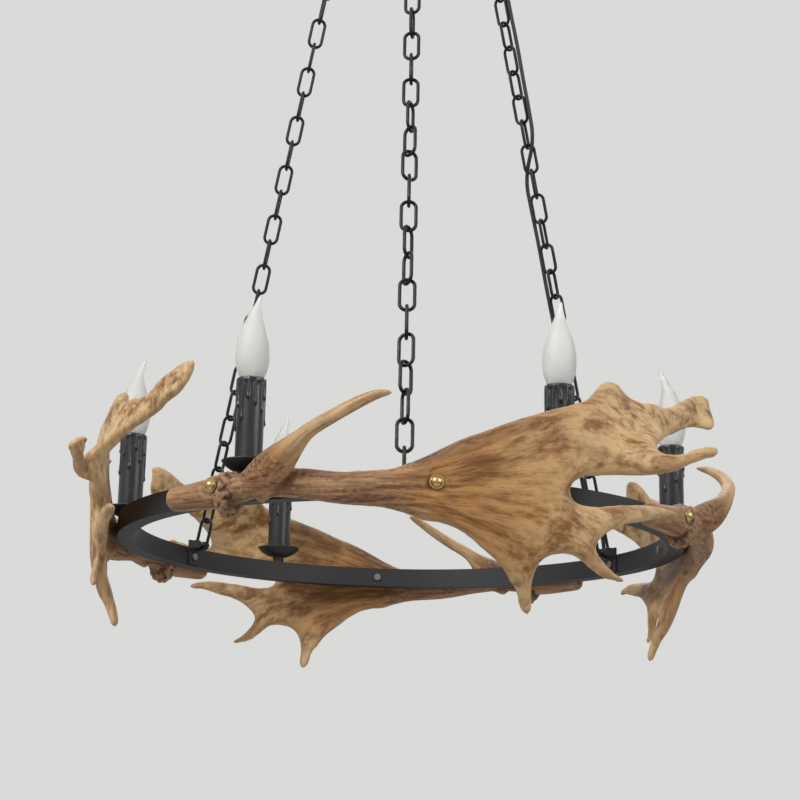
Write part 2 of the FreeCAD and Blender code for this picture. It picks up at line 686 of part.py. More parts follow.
def antler_fixings():
    """Pan-head screws from inside the hoop, black spacers, and domed brass nuts outside."""
    screws, spacers, domes = [], [], []
    bore = "Sizes.screw_radius + Sizes.fit_clearance"
    blind = "Sizes.screw_grip + Sizes.running_gap"
    foot = "(Sizes.dome_radius - Sizes.dome_flange)"
    rise = "(Sizes.dome_height - Sizes.dome_flange)"
    for angle, seat, head in antler_screws():
        shank = primitive("Cylinder", "screw_shank", radial(angle, head), Radius="Sizes.screw_radius")
        shank.Height = seat + dim.screw_grip - head
        cap = primitive("Cylinder", "screw_head", radial(angle, head - dim.screw_head_height),
                        Radius="Sizes.screw_head_radius", Height="Sizes.screw_head_height")
        screws.append(fused("antler_screw", [shank, cap]))
        blank = primitive("Cylinder", "spacer_blank", radial(angle, dim.hoop_radius),
                          Radius="Sizes.standoff_radius", Height="Sizes.standoff")
        core = primitive("Cylinder", "spacer_core", radial(angle, dim.hoop_radius),
                         Radius="Sizes.screw_radius + Sizes.screw_clearance",
                         Height="Sizes.standoff")
        spacers.append(cut("spacer", blank, core))
        domes.append(turned("dome", [
            (bore, "0"), ("Sizes.dome_radius", "0"), ("Sizes.dome_radius", "Sizes.dome_flange"),
            (foot, "Sizes.dome_flange"),
            ("0", "Sizes.dome_height", f"-({foot}^2 + {rise}^2) / (2 * {rise})"),
            ("0", blind), (bore, blind),
        ], radial(angle, seat)))
    for angle in bracket_screws():
        head = strap_seat - dim.bracket_metal
        shank = primitive("Cylinder", "bracket_shank", radial(angle, head),
                          Radius="Sizes.screw_radius",
                          Height="Sizes.bracket_metal + Sizes.hoop_wall + 3")
        cap = primitive("Cylinder", "bracket_head", radial(angle, head - dim.screw_head_height),
                        Radius="Sizes.screw_head_radius", Height="Sizes.screw_head_height")
        screws.append(fused("bracket_screw", [shank, cap]))
    part(group("screw_set", screws), "hoop_screws")
    part(group("spacer_set", spacers), "antler_spacers")
    part(group("dome_set", domes), "brass_dome_nuts")


# ---------------------------------------------------------------- supply cable
def cord(label, points):
    """A round cable along straight runs joined by arcs as large as the runs allow."""
    points = [Vector(*point) for point in points]
    edges = []
    here = points[0]
    radii = []
    for before, corner, after in zip(points, points[1:], points[2:]):
        back = before - corner
        ahead = after - corner
        reach = CORD_REACH * min(back.Length, ahead.Length)
        turn = math.pi - back.getAngle(ahead)
        radius = reach / math.tan(turn / 2)
        radii.append(round(radius))
        start = corner + back.normalize() * reach
        end = corner + ahead.normalize() * reach
        inwards = (back + ahead).normalize()
        middle = corner + inwards * radius * (1 / math.cos(turn / 2) - 1)
        edges += [Part.LineSegment(here, start).toShape(), Part.Arc(start, middle, end).toShape()]
        here = end
    edges.append(Part.LineSegment(here, points[-1]).toShape())
    path = Part.Wire(edges)
    section = Part.Wire(Part.makeCircle(dim.cable_radius, points[0], points[1] - points[0]))
    tube = path.makePipeShell([section], True, False)
    share = tube.Volume / (math.pi * dim.cable_radius ** 2 * path.Length)
    print(f"{label}: {path.Length:.0f} mm, {share:.4f} of its volume, radii {radii}")
    part(feature(label + "_tube", tube), label)


def supply_cable():
    """From the cord grip, past the link and the ring, laced down the right chain into the hoop."""
    cord("cable_drop_upper", [(26, 0, -39), (26, 0, -52), (29, 2, -68), (31, 3, -84)])
    cord("cable_drop_lower", [
        (31, 3, -84), (33, 4, -100), (34.5, 3, -117.5), (34.5, 1, -134.67), (35, 3, -150),
    ])
    cord("chain_cable", [
        (35, 3, -150), (36.5, 9, -196), (38.5, 20.5, -258), (53, 28.5, -323.5),
        (65.5, 35.5, -386.5), (77, 42, -450), (89, 48, -513), (102, 55.5, -576),
        (116, 63, -638.5), (129, 70, -701.5), (141, 76.5, -765), (150, 82, -817),
        (162, 88, -868), (148.5, 88.5, -901), (159.5, 96, -952), (173, 103, -1015),
        (184.5, 111, -1078), (196, 118.5, -1141), (207, 126.5, -1201.5), (216.5, 134.5, -1256),
        (227, 150, -1287), (243.5, 170, -1312), (254.35, 178.1, -1339), (254.35, 178.1, -1361.768),
    ])


# ---------------------------------------------------------------- candle lamps
def lamp_stem(place):
    """A turned foot welded on the hoop, with a hollow spigot through its wall."""
    return turned("stem", [
        ("Sizes.cable_radius", "-Sizes.spigot_length"),
        ("Sizes.spigot_radius", "-Sizes.spigot_length"), ("Sizes.spigot_radius", "0"),
        ("Sizes.stem_radius", "0"), ("Sizes.stem_radius", "Sizes.stem_height"),
        ("Sizes.cable_radius", "Sizes.stem_height"),
    ], place)


def drip_pan(place):
    """A shallow spun dish with a rolled-out rim."""
    hole = "Sizes.post_radius + Sizes.fit_clearance"
    return turned("pan", [
        (hole, "0"), ("Sizes.pan_foot", "0"),
        ("Sizes.pan_radius", "Sizes.pan_depth", "-Sizes.pan_radius"),
        ("Sizes.pan_radius - Sizes.pan_wall", "Sizes.pan_depth"),
        ("Sizes.pan_foot", "Sizes.pan_wall", "Sizes.pan_radius - Sizes.pan_wall"),
        (hole, "Sizes.pan_wall"),
    ], place)


def lampholder(place):
    """A candle lampholder: a hollow post on the stem and a socket at the top of the sleeve."""
    top = "(Sizes.pan_wall + Sizes.sleeve_height - Sizes.holder_drop)"
    rim = "Sizes.pan_wall + Sizes.sleeve_height"
    floor = rim + " - Sizes.glass_drop - Sizes.cap_length - Sizes.running_gap"
    bore = "Sizes.cap_radius + Sizes.cap_clearance"
    return turned("holder", [
        ("Sizes.cable_radius", "0"), ("Sizes.post_radius", "0"),
        ("Sizes.post_radius", top + " - Sizes.holder_height"),
        ("Sizes.holder_radius", top + " - Sizes.holder_height"),
        ("Sizes.holder_radius", top), (bore, top), (bore, floor), ("Sizes.cable_radius", floor),
    ], place)


def sleeve_shape():
    """A candle sleeve with moulded wax drips that run down from its rim."""
    radius = dim.sleeve_radius
    tube = Part.makeCylinder(radius, dim.sleeve_height)
    drops = [(10, 34), (52, 22), (95, 47), (140, 28), (188, 40), (232, 18), (275, 52), (322, 30)]
    pieces = []
    for angle, length in drops:
        turn = math.radians(angle)
        foot = Vector(radius * math.cos(turn), radius * math.sin(turn), dim.sleeve_height - length)
        run = Part.makeCylinder(dim.drip_radius * 0.8, length - dim.drip_radius, foot)
        pieces += [run, Part.makeSphere(dim.drip_radius, foot)]
    collar = Part.makeTorus(radius - dim.drip_radius * 0.3, dim.drip_radius,
                            Vector(0, 0, dim.sleeve_height - dim.drip_radius))
    solid = tube.fuse(pieces + [collar])
    return solid.cut(Part.makeCylinder(radius - dim.sleeve_wall, dim.sleeve_height + dim.drip_radius))


def bulb_shape(stations, inset=0.0):
    """A turned form whose upper end leans: (height above the sleeve, radius, lean)."""
    rings = []
    for height, radius, lean in stations:
        tilt = Vector(lean / 25, 0, 1)
        rings.append(Part.Wire(Part.makeCircle(radius - inset, Vector(lean, 0, height), tilt)))
    return Part.makeLoft(rings, True, False)


def bulb_glass():
    """The glass of a flame-tip candle bulb: hollow, with a solid tip drawn out and bent over."""
    belly = [(2, 12, 0), (12, 15.8, 0), (26, 17.5, 0), (42, 16, 0), (58, 11, 0.8), (70, 6.8, 3)]
    tip = [(80, 3.9, 6.5), (89, 2.3, 10.5), (93, 1, 12.5)]
    outside = bulb_shape([(-dim.glass_drop, 9, 0)] + belly + tip)
    inside = bulb_shape([(dim.glass_wall - dim.glass_drop, 9, 0)] + belly, dim.glass_wall)
    return outside.cut(inside)


def bulb_cap(place):
    """The metal cap under the glass, with its contact at the bottom."""
    bottom = "-Sizes.glass_drop - Sizes.cap_length"
    return turned("cap", [
        ("0", bottom), ("Sizes.cap_contact", bottom),
        ("Sizes.cap_radius", bottom + " + Sizes.cap_contact"),
        ("Sizes.cap_radius", "-Sizes.glass_drop"), ("0", "-Sizes.glass_drop"),
    ], place)


def candles():
    """Six lamps, each a stem, drip pan, lampholder, sleeve and bulb."""
    stems, holders = [], []
    sleeve = sleeve_shape()
    glass = bulb_glass()
    for index, angle in enumerate(candle_angles):
        name = "abcdefghijkl"[index]
        base = on_hoop(angle, hoop_middle, hoop_top)
        pan = on_hoop(angle, hoop_middle, pan_floor)
        inside = on_hoop(angle, hoop_middle, pan_floor + dim.pan_wall)
        rim = on_hoop(angle, hoop_middle, pan_floor + dim.pan_wall + dim.sleeve_height)
        stems.append(lamp_stem(base))
        holders.append(lampholder(pan))
        part(drip_pan(pan), "drip_pan_" + name)
        part(feature("sleeve_" + name, sleeve.copy(), inside), "candle_sleeve_" + name)
        turn = at(angle=BULB_TURNS[index] - angle)
        part(feature("glass_" + name, glass.copy(), rim * turn), "bulb_glass_" + name)
        part(bulb_cap(rim), "bulb_cap_" + name)
    part(group("stem_set", stems), "lamp_stems")
    part(group("holder_set", holders), "lampholders")


crossbar()
nipple()
canopy()
hanging_loop()
wiring()
connecting_link()
top_ring()
chains()
chain_brackets()
hoop()
hoop_wiring()
antlers()
antler_fixings()
supply_cable()
candles()

doc.recompute()
for item in doc.Objects:
    if "Invalid" in item.State or "Error" in item.State:
        raise RuntimeError(f"{item.Name} failed: {item.State}")
for piece in PARTS:
    if piece.Shape.isNull() or not piece.Shape.isValid():
        raise RuntimeError(f"{piece.Label} has no valid shape")
os.makedirs("parts", exist_ok=True)
for piece in PARTS:
    piece.Shape.exportStep(f"parts/{piece.Label}.step")
print(len(PARTS), "sub-parts, hoop at", round(hoop_z, 2))
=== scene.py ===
"""The looks of the antler chandelier, in metres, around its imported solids.

It hangs from the ceiling at z = 0, and the front of its hoop faces -Y.
"""
import json
import math

import bmesh
import bpy
from mathutils import Matrix, Vector, kdtree, noise
import numpy as np

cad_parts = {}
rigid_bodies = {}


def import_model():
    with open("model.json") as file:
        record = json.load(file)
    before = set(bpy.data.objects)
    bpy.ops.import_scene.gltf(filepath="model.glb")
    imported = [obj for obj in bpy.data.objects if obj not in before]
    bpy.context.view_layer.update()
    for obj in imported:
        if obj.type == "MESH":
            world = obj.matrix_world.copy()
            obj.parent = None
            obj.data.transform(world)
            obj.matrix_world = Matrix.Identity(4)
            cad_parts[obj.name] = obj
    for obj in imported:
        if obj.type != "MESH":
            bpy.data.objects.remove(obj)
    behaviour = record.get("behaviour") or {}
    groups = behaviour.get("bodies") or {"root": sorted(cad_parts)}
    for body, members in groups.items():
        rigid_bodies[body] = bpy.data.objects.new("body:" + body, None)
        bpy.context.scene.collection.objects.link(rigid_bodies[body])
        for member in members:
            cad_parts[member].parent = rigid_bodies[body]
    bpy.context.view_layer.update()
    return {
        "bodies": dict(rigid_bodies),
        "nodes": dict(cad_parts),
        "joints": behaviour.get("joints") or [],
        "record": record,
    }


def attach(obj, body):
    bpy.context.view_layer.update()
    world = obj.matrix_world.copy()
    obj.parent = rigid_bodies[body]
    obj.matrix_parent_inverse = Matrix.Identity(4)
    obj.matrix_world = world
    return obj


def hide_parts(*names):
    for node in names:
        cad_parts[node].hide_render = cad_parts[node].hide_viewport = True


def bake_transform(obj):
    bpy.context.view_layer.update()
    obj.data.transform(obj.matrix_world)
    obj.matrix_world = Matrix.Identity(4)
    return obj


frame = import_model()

NODES = frame["nodes"]


# ---------------------------------------------------------------- camera
# The photograph was taken with a long lens from in front of the hoop and a little below it,
# looking slightly up.  The lens, its place and its tilt come from the hoop and the candles.
LENS_PLACE = Vector((-0.0141, -1.9940, -1.7079))
LENS_UP_ANGLE = 0.2440
LENS_SIDE_ANGLE = 0.0051
LENS_ROLL = 0.0210

lens = bpy.data.cameras.new("photo_lens")
lens.lens = 79.49
lens.sensor_width = 36
lens.clip_end = 50
photo_camera = bpy.data.objects.new("photo_camera", lens)
photo_camera.matrix_world = (
    Matrix.Translation(LENS_PLACE) @ Matrix.Rotation(-LENS_SIDE_ANGLE, 4, "Z")
    @ Matrix.Rotation(math.pi / 2 + LENS_UP_ANGLE, 4, "X") @ Matrix.Rotation(LENS_ROLL, 4, "Z"))
bpy.context.scene.collection.objects.link(photo_camera)
bpy.context.scene.camera = photo_camera
bpy.context.scene.view_settings.view_transform = "Standard"


# ---------------------------------------------------------------- supply cable
# One round three-core cable in a black jacket drops from the grip in the canopy, passes the link
# and the ring, is laced down one chain and enters the hoop through a grommet.
CABLE_WIDTH = 0.0048
CABLE_STRETCHES = {
    "cable_drop_upper": [(26, 0, -39), (26, 0, -52), (29, 2, -68), (31, 3, -84)],
    "cable_drop_lower": [
        (31, 3, -84), (33, 4, -100), (34.5, 3, -117.5), (34.5, 1, -134.67), (35, 3, -150),
    ],
    "chain_cable": [
        (35, 3, -150), (35.5, 9, -199), (43.5, 10.5, -254.6), (53, 14, -314.6), (65, 21.5, -374.7),
        (76, 27, -434.7), (89, 35, -494.8), (99.5, 40.5, -554.8), (112.5, 49, -614.9),
        (123, 55, -674.9), (135.5, 62.5, -731.9), (143, 67, -774.5), (151, 71.5, -814),
        (157.5, 74.5, -853.5), (148.5, 99, -894.6), (157, 104.5, -935.6), (166.5, 109.5, -978.1),
        (176.5, 115.5, -1032.2), (190, 123.5, -1095.2), (201, 130, -1158.3), (213, 137.5, -1215.3),
        (221.5, 142, -1262.8), (227, 150, -1287.9), (243.5, 170, -1312.9),
        (254.35, 178.1, -1339.9), (254.35, 178.1, -1361.7),
    ],
}


class Wire:
    """A shader output on which Python's arithmetic adds Math nodes."""

    def __init__(self, finish, socket):
        self.finish = finish
        self.socket = socket

    def maths(self, operation, *values):
        return self.finish.node("Math", {"operation": operation}, dict(enumerate(values)))

    def __add__(self, other):
        return self.maths("ADD", self, other)

    __radd__ = __add__

    def __sub__(self, other):
        return self.maths("SUBTRACT", self, other)

    def __rsub__(self, other):
        return self.maths("SUBTRACT", other, self)

    def __mul__(self, other):
        return self.maths("MULTIPLY", self, other)

    __rmul__ = __mul__


class Finish:
    """A Principled material; node() adds every other node."""

    def __init__(self, name, **plain):
        self.material = bpy.data.materials.new(name)
        self.material.use_nodes = True
        self.tree = self.material.node_tree
        self.skin = self.tree.nodes["Principled BSDF"]
        self.feed(self.skin, {key.replace("_", " "): value for key, value in plain.items()})

    def feed(self, node, inputs):
        for key, value in inputs.items():
            if isinstance(value, Wire):
                self.tree.links.new(value.socket, node.inputs[key])
            else:
                node.inputs[key].default_value = value

    def node(self, kind, settings=None, inputs=None, output=0):
        made = self.tree.nodes.new("ShaderNode" + kind)
        for key, value in (settings or {}).items():
            setattr(made, key, value)
        self.feed(made, inputs or {})
        return Wire(self, made.outputs[output])

    def place(self):
        return self.node("TexCoord", output=3)

    def grain(self, scale, detail=4.0, roughness=0.55, at=None):
        at = at or self.place()
        return self.node("TexNoise", {}, {"Vector": at, "Scale": scale, "Detail": detail,
                                          "Roughness": roughness})

    def tinted(self, amount, first, second):
        """The first colour where amount is 0, and the second where it is 1."""
        return self.node("Mix", {"data_type": "RGBA"}, {0: amount, 6: first, 7: second}, 2)

    def stepped(self, value, low, high):
        """0 below low, 1 above high, and smooth between them."""
        return self.node("MapRange", {"interpolation_type": "SMOOTHSTEP"},
                         {"Value": value, "From Min": low, "From Max": high})

    def dented(self, height, distance, strength=1.0):
        bump = self.node("Bump", {}, {"Height": height, "Distance": distance,
                                      "Strength": strength})
        self.feed(self.skin, {"Normal": bump})


def cable_jacket():
    jacket = Finish("cable_jacket", Roughness=0.55)
    scuffs = jacket.stepped(jacket.grain(90.0), 0.45, 0.75)
    jacket.feed(jacket.skin, {
        "Base Color": jacket.tinted(scuffs, (0.012, 0.012, 0.013, 1), (0.03, 0.03, 0.032, 1)),
        "Roughness": 0.5 + 0.2 * scuffs,
    })
    jacket.dented(jacket.grain(700.0, 2.0), 0.0001)
    return jacket.material


def millimetres(*point):
    return Vector(point) * 0.001


def curve_mesh(curve):
    """What a curve draws, as a mesh."""
    holder = bpy.data.objects.new(curve.name, curve)
    bpy.context.scene.collection.objects.link(holder)
    bpy.context.view_layer.update()
    mesh = bpy.data.meshes.new_from_object(holder)
    bpy.data.objects.remove(holder)
    return mesh


def route_curve(name, route):
    curve = bpy.data.curves.new(name, "CURVE")
    curve.dimensions = "3D"
    curve.resolution_u = 10
    run = curve.splines.new("NURBS")
    run.points.add(len(route) - 1)
    for point, where in zip(run.points, route):
        point.co = (*where, 1)
    run.order_u = 3
    run.use_endpoint_u = True
    return curve


def piped_cable(label, route):
    """A stretch of the cable as a mesh tube, with the line it follows."""
    curve = route_curve(label + "_run", route)
    line = [vert.co.copy() for vert in curve_mesh(curve).vertices]
    curve.bevel_depth = CABLE_WIDTH / 2
    curve.bevel_resolution = 4
    curve.use_fill_caps = True
    cable = bpy.data.objects.new(label + "_run", curve_mesh(curve))
    bpy.context.scene.collection.objects.link(cable)
    return cable, line


def finish_cable(cable, label, length, **facts):
    cable.data.materials.clear()
    cable.data.materials.append(jacket)
    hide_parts(label)


jacket = cable_jacket()
ROUTES = {label: [millimetres(*point) for point in points]
          for label, points in CABLE_STRETCHES.items()}
upper_route = ROUTES["cable_drop_upper"]
upper, upper_line = piped_cable("cable_drop_upper", upper_route)
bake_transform(upper)
finish_cable(upper, "cable_drop_upper", 0.0455, exit=upper_route[0], path=upper_line,
             with_pieces=[NODES["cord_grip"]])
lower_route = ROUTES["cable_drop_lower"]
lower, lower_line = piped_cable("cable_drop_lower", lower_route)
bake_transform(lower)
finish_cable(lower, "cable_drop_lower", 0.0662, exit=lower_route[0], path=lower_line)
laced_route = ROUTES["chain_cable"]
laced, laced_line = piped_cable("chain_cable", laced_route)
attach(laced, "fixture")
finish_cable(laced, "chain_cable", 1.257, exit=laced_route[0], path=laced_line,
             with_pieces=[NODES["cable_grommet"]])


# ---------------------------------------------------------------- ceiling fixing and steelwork
# The canopy, loop, link, ring, hoop, chain brackets and lamp stems are mild steel with a black
# powder coat, baked on: satin, with a very fine texture, and paler in patches on upward faces as a
# painted highlight from light above.  The crossbar, nipple, nuts and screws are zinc plated, and
# the grips, spacers and wiring are rubber or nylon.
def powder_coat():
    coat = Finish("black_powder_coat")
    patches = coat.grain(14.0, 5.0)
    facing = coat.node("SeparateXYZ", {}, {0: coat.node("NewGeometry", output=1)}, 2)
    # Paler in patches on faces that point up: a painted highlight for light falling from above.
    painted_top_light = coat.stepped(facing, 0.5, 1.0) * coat.stepped(patches, 0.3, 0.7)
    bare = coat.tinted(patches, (0.010, 0.010, 0.011, 1), (0.021, 0.021, 0.022, 1))
    coat.feed(coat.skin, {
        "Base Color": coat.tinted(0.6 * painted_top_light, bare, (0.075, 0.073, 0.070, 1)),
        "Roughness": 0.42 + 0.22 * patches,
        "Specular IOR Level": 0.45,
    })
    coat.dented(coat.grain(1400.0, 2.0), 0.00012, 0.6)
    return coat.material


def zinc_plate(name, dull, bright):
    zinc = Finish(name, Metallic=1.0)
    bloom = zinc.grain(300.0, 3.0)
    zinc.feed(zinc.skin, {
        "Base Color": zinc.tinted(bloom, dull, bright),
        "Roughness": 0.28 + 0.25 * bloom,
    })
    zinc.dented(zinc.grain(900.0, 2.0), 0.00008)
    return zinc.material


def moulded(name, dark, pale, roughness):
    """A moulded plastic or rubber with a faint mottle."""
    mould = Finish(name)
    mottle = mould.grain(220.0, 3.0)
    mould.feed(mould.skin, {
        "Base Color": mould.tinted(mottle, dark, pale),
        "Roughness": roughness - 0.1 + 0.2 * mottle,
    })
    mould.dented(mould.grain(1100.0, 2.0), 0.00006)
    return mould.material


def dress(material, *labels):
    """Gives CAD nodes that already have the right shape their finish."""
    for label in labels:
        mesh = NODES[label].data
        mesh.materials.clear()
        mesh.materials.append(material)


coat = powder_coat()
zinc = zinc_plate("zinc_plate", (0.50, 0.51, 0.52, 1), (0.66, 0.66, 0.64, 1))
# The hoop screws get a darker, yellowish zinc. The tint is their dull plating, and the darkness is
# painted shade of the recesses they sit in.
shaded_screw_zinc = zinc_plate("dull_zinc_with_painted_shade", (0.16, 0.15, 0.12, 1), (0.36, 0.34, 0.28, 1))
rubber = moulded("black_rubber", (0.010, 0.010, 0.010, 1), (0.022, 0.022, 0.022, 1), 0.7)
nylon = moulded("pale_nylon", (0.72, 0.72, 0.66, 1), (0.80, 0.80, 0.75, 1), 0.45)
LETTERS = "abcdef"
dress(coat, "ceiling_canopy", "hanging_loop", "connecting_link", "top_ring", "hoop",
      "chain_bracket_front", "chain_bracket_right", "chain_bracket_left", "lamp_stems")
dress(zinc, "crossbar", "hollow_nipple", "nipple_nut", "link_sleeve")
dress(shaded_screw_zinc, "hoop_screws")
dress(rubber, "cord_grip", "cable_grommet", "wiring_loom", "antler_spacers")
dress(nylon, "terminal_block")


# ---------------------------------------------------------------- chains
# Each chain is welded from round mild steel wire and blackened, so its links are darker and a
# little shinier than the painted hoop, and brighter where they rub on each other.  Each link
# stands a quarter turn from the next, save where a chain hangs with a twist in it.
CHAIN_WIRE = 3.9
LINK_GAP = 11.9
LINK_COUNT = 39
LINK_PLAY = 0.3
RING_WIRE = 2.5
END_SLACK = 5.1
# Where a chain meets the ring and its bracket's pin, and the way that each of the two runs.
CHAIN_ENDS = {
    "front": [(0, 0, -135.4), (0, -287.866, -1361.768), (1, 0, 0), (1, 0, 0)],
    "right": [(7, 0, -134.135), (249.299, 143.933, -1361.768), (18.735, 0, 7), (-0.5, 0.866, 0)],
    "left": [(-7, 0, -134.135), (-242.783, 154.67, -1361.768), (18.735, 0, -7),
             (-0.537, -0.843, 0)],
}
# A link's number, counted down from the ring, and its bearing from the front, in degrees.
CHAIN_TURNS = {
    "front": [(24, 360), (28, 270), (29, 270), (32, 180), (33, 180), (37, 90)],
    "right": [(20, 42), (23, 80), (28, 55)],
    "left": [(20, 0), (30, 0), (33, -30)],
}


def blackened_steel():
    steel = Finish("blackened_steel", Metallic=0.35)
    rubbed = steel.stepped(steel.grain(160.0, 4.0), 0.55, 0.75)
    steel.feed(steel.skin, {
        "Base Color": steel.tinted(rubbed, (0.008, 0.008, 0.009, 1), (0.030, 0.030, 0.032, 1)),
        "Roughness": 0.45 - 0.12 * rubbed,
    })
    steel.dented(steel.grain(800.0, 2.0), 0.0001)
    return steel.material


def welded_link(length):
    """One straight link about the origin, in millimetres, standing in the XZ plane."""
    bend = (LINK_GAP + CHAIN_WIRE) / 2
    curve = bpy.data.curves.new("link_line", "CURVE")
    curve.dimensions = "3D"
    curve.bevel_depth = CHAIN_WIRE / 2
    curve.bevel_resolution = 3
    run = curve.splines.new("POLY")
    run.points.add(31)
    run.use_cyclic_u = True
    for index, point in enumerate(run.points):
        turn = math.pi * (index + 0.5) / 16
        end = math.copysign((length - LINK_GAP) / 2, 15.5 - index)
        point.co = (bend * math.cos(turn), 0, end + bend * math.sin(turn), 1)
    return curve_mesh(curve)


def smooth_mesh(shape, name):
    mesh = bpy.data.meshes.new(name)
    shape.to_mesh(mesh)
    shape.free()
    mesh.shade_smooth()
    return mesh


def fit_piece(name, mesh, label):
    """Puts a shaped mesh in the place of a CAD node, on the body that the hoop belongs to."""
    piece = bpy.data.objects.new(name, mesh)
    bpy.context.scene.collection.objects.link(piece)
    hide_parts(label)
    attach(piece, "fixture")


def hang_chain(name, steel):
    top, bottom, first_way, last_way = [Vector(point) for point in CHAIN_ENDS[name]]
    up = (top - bottom).normalized()
    face = (Vector((1, 0, 0)) - up * up.x).normalized()
    side = up.cross(face)
    turns = dict(CHAIN_TURNS[name])
    for number, way in ((0, first_way.cross(up)), (LINK_COUNT - 1, last_way.cross(up))):
        near = turns[min(turns, key=lambda known: abs(known - number))]
        turn = math.degrees(math.atan2(side.dot(way), face.dot(way)))
        turns[number] = turn + 180 * round((near - turn) / 180)
    numbers = sorted(turns)
    length = ((top - bottom).length + END_SLACK + LINK_PLAY * (LINK_COUNT - 1)) / LINK_COUNT
    link = welded_link(length)
    shape = bmesh.new()
    for index in range(LINK_COUNT):
        turn = math.radians(np.interp(index, numbers, [turns[number] for number in numbers])
                            + 90 * (index % 2))
        across = face * math.cos(turn) + side * math.sin(turn)
        turned = Matrix((across, up.cross(across), up)).transposed().to_4x4()
        centre = top + up * (RING_WIRE + LINK_PLAY - length / 2 - (length - LINK_PLAY) * index)
        placed = link.copy()
        placed.transform(Matrix.Scale(0.001, 4) @ Matrix.Translation(centre) @ turned)
        shape.from_mesh(placed)
    mesh = smooth_mesh(shape, "chain_" + name + "_links")
    mesh.materials.append(steel)
    fit_piece(mesh.name, mesh, "chain_" + name)


steel = blackened_steel()
for name in CHAIN_ENDS:
    hang_chain(name, steel)


# ---------------------------------------------------------------- antlers
# Four casts of one shed antler in painted resin, bolted on a quarter turn apart.  A ribbed beam
# with a knobbly burr opens into a thin palm with tines.  It is modelled as it sits at the front
# of the hoop, in millimetres about the hoop's centre, and then copied round.
BEAM_RADIUS = 338
# The palm's edge seen from the front, from the beam's top round the tines to its underside.
PALM_EDGE = [
    (-52, 8), (-27, 9), (-4, 16), (15, 25), (36, 36), (58, 46), (79, 54), (101, 64), (123, 71),
    (145, 79), (167, 87), (179, 93), (186, 102), (192, 110), (198, 115), (206, 115), (212, 112),
    (216, 106), (222, 100), (229, 97), (238, 96), (247, 98), (258, 97), (267, 100), (278, 107),
    (292, 117), (305, 123), (313, 123), (317, 118), (317, 108), (320, 93), (317, 83), (312, 81),
    (304, 83), (289, 81), (272, 71), (258, 61), (250, 52), (246, 43), (249, 37), (256, 34),
    (264, 34), (275, 38), (286, 42), (297, 45), (304, 45), (306, 40), (301, 34), (293, 32),
    (282, 28), (272, 23), (261, 18), (250, 16), (236, 15), (221, 15), (206, 15), (189, 14),
    (176, 13), (167, 9), (161, 2), (161, -5), (164, -11), (173, -15), (187, -15), (200, -13),
    (216, -11), (234, -10), (249, -11), (261, -13), (270, -17), (271, -20), (264, -22), (250, -23),
    (235, -27), (219, -31), (207, -35), (196, -42), (189, -49), (186, -55), (189, -62), (195, -71),
    (203, -79), (211, -84), (214, -87), (211, -89), (203, -88), (192, -85), (182, -79), (174, -72),
    (166, -66), (157, -64), (145, -65), (136, -69), (130, -76), (127, -83), (125, -94),
    (125, -105), (125, -116), (122, -121), (117, -119), (112, -110), (109, -99), (104, -90),
    (97, -81), (87, -71), (76, -62), (63, -51), (48, -42), (33, -37), (16, -35), (8, -32),
    (-25, -24), (-52, -17),
]
# Guides over the palm: across and up in the front view, how far the middle of its thickness
# stands in front of the hoop's axis, how far the grain has run, and which line of grain it is.
PALM_GUIDES = [
    (-45, -8, 335, -45, -8), (-30, 10, 336, -30, 12), (-30, -27, 336, -30, -27),
    (10, 19, 333, 10, 19), (10, -32, 333, 10, -30), (60, 44, 330, 62, 19),
    (60, -52, 327, 62, -31), (60, 0, 331, 60, -4), (100, 0, 328, 100, -4),
    (110, 66, 325, 118, 18), (98, -84, 316, 112, -31), (160, 15, 321, 160, 0),
    (150, -25, 321, 152, -12), (170, 60, 318, 172, 9), (182, 98, 306, 192, 18),
    (201, 110, 294, 212, 22), (215, 60, 306, 216, 8), (240, 92, 282, 250, 18),
    (240, 62, 292, 240, 8), (285, 98, 244, 305, 16), (285, 76, 246, 303, 9),
    (312, 104, 218, 340, 14), (250, 30, 324, 250, 4), (250, 18, 324, 250, 1),
    (300, 34, 330, 300, 2.5), (165, -2, 318, 165, -2), (200, -16, 308, 200, -4),
    (240, -14, 297, 240, -5), (240, -28, 297, 240, -9), (268, -25, 283, 268, -7),
    (192, -48, 311, 196, -12), (192, -65, 314, 208, -14), (176, -68, 313, 205, -19),
    (210, -91, 312, 235, -16), (146, -72, 317, 168, -21), (131, -100, 308, 200, -23),
    (110, -100, 306, 195, -30), (124, -123, 300, 225, -26),
]
# Beam stations: angle round the hoop, radius, height of the middle, half height and thickness.
BEAM_STATIONS = [
    (-42.8, 338, -6, 11.5, 12), (-42, 338, -6, 12.6, 13.5), (-39, 338, -6, 13.5, 14.5),
    (-35, 338, -5.5, 15, 15.2), (-31, 338, -4, 16.5, 16), (-27.5, 338, -1.5, 14, 14.8),
    (-23, 338, 0.5, 13.5, 14.2), (-17, 338, -1, 15, 14.4), (-10, 338, -6.5, 15.8, 14.2),
    (-4, 337.5, -6.7, 18.4, 13), (1, 336, -6.5, 20.5, 11), (5, 334, -4, 19, 8),
    (9, 332.5, 0, 13, 4.5),
]
# The burr: angle round the hoop, height of the middle, half height and half thickness.
BURR_STATIONS = [
    (-31.9, -8, 14.5, 15), (-31.3, -8, 21.5, 18), (-30.5, -7.5, 24, 19), (-29.7, -7, 22, 18),
    (-29, -6, 14, 15),
]
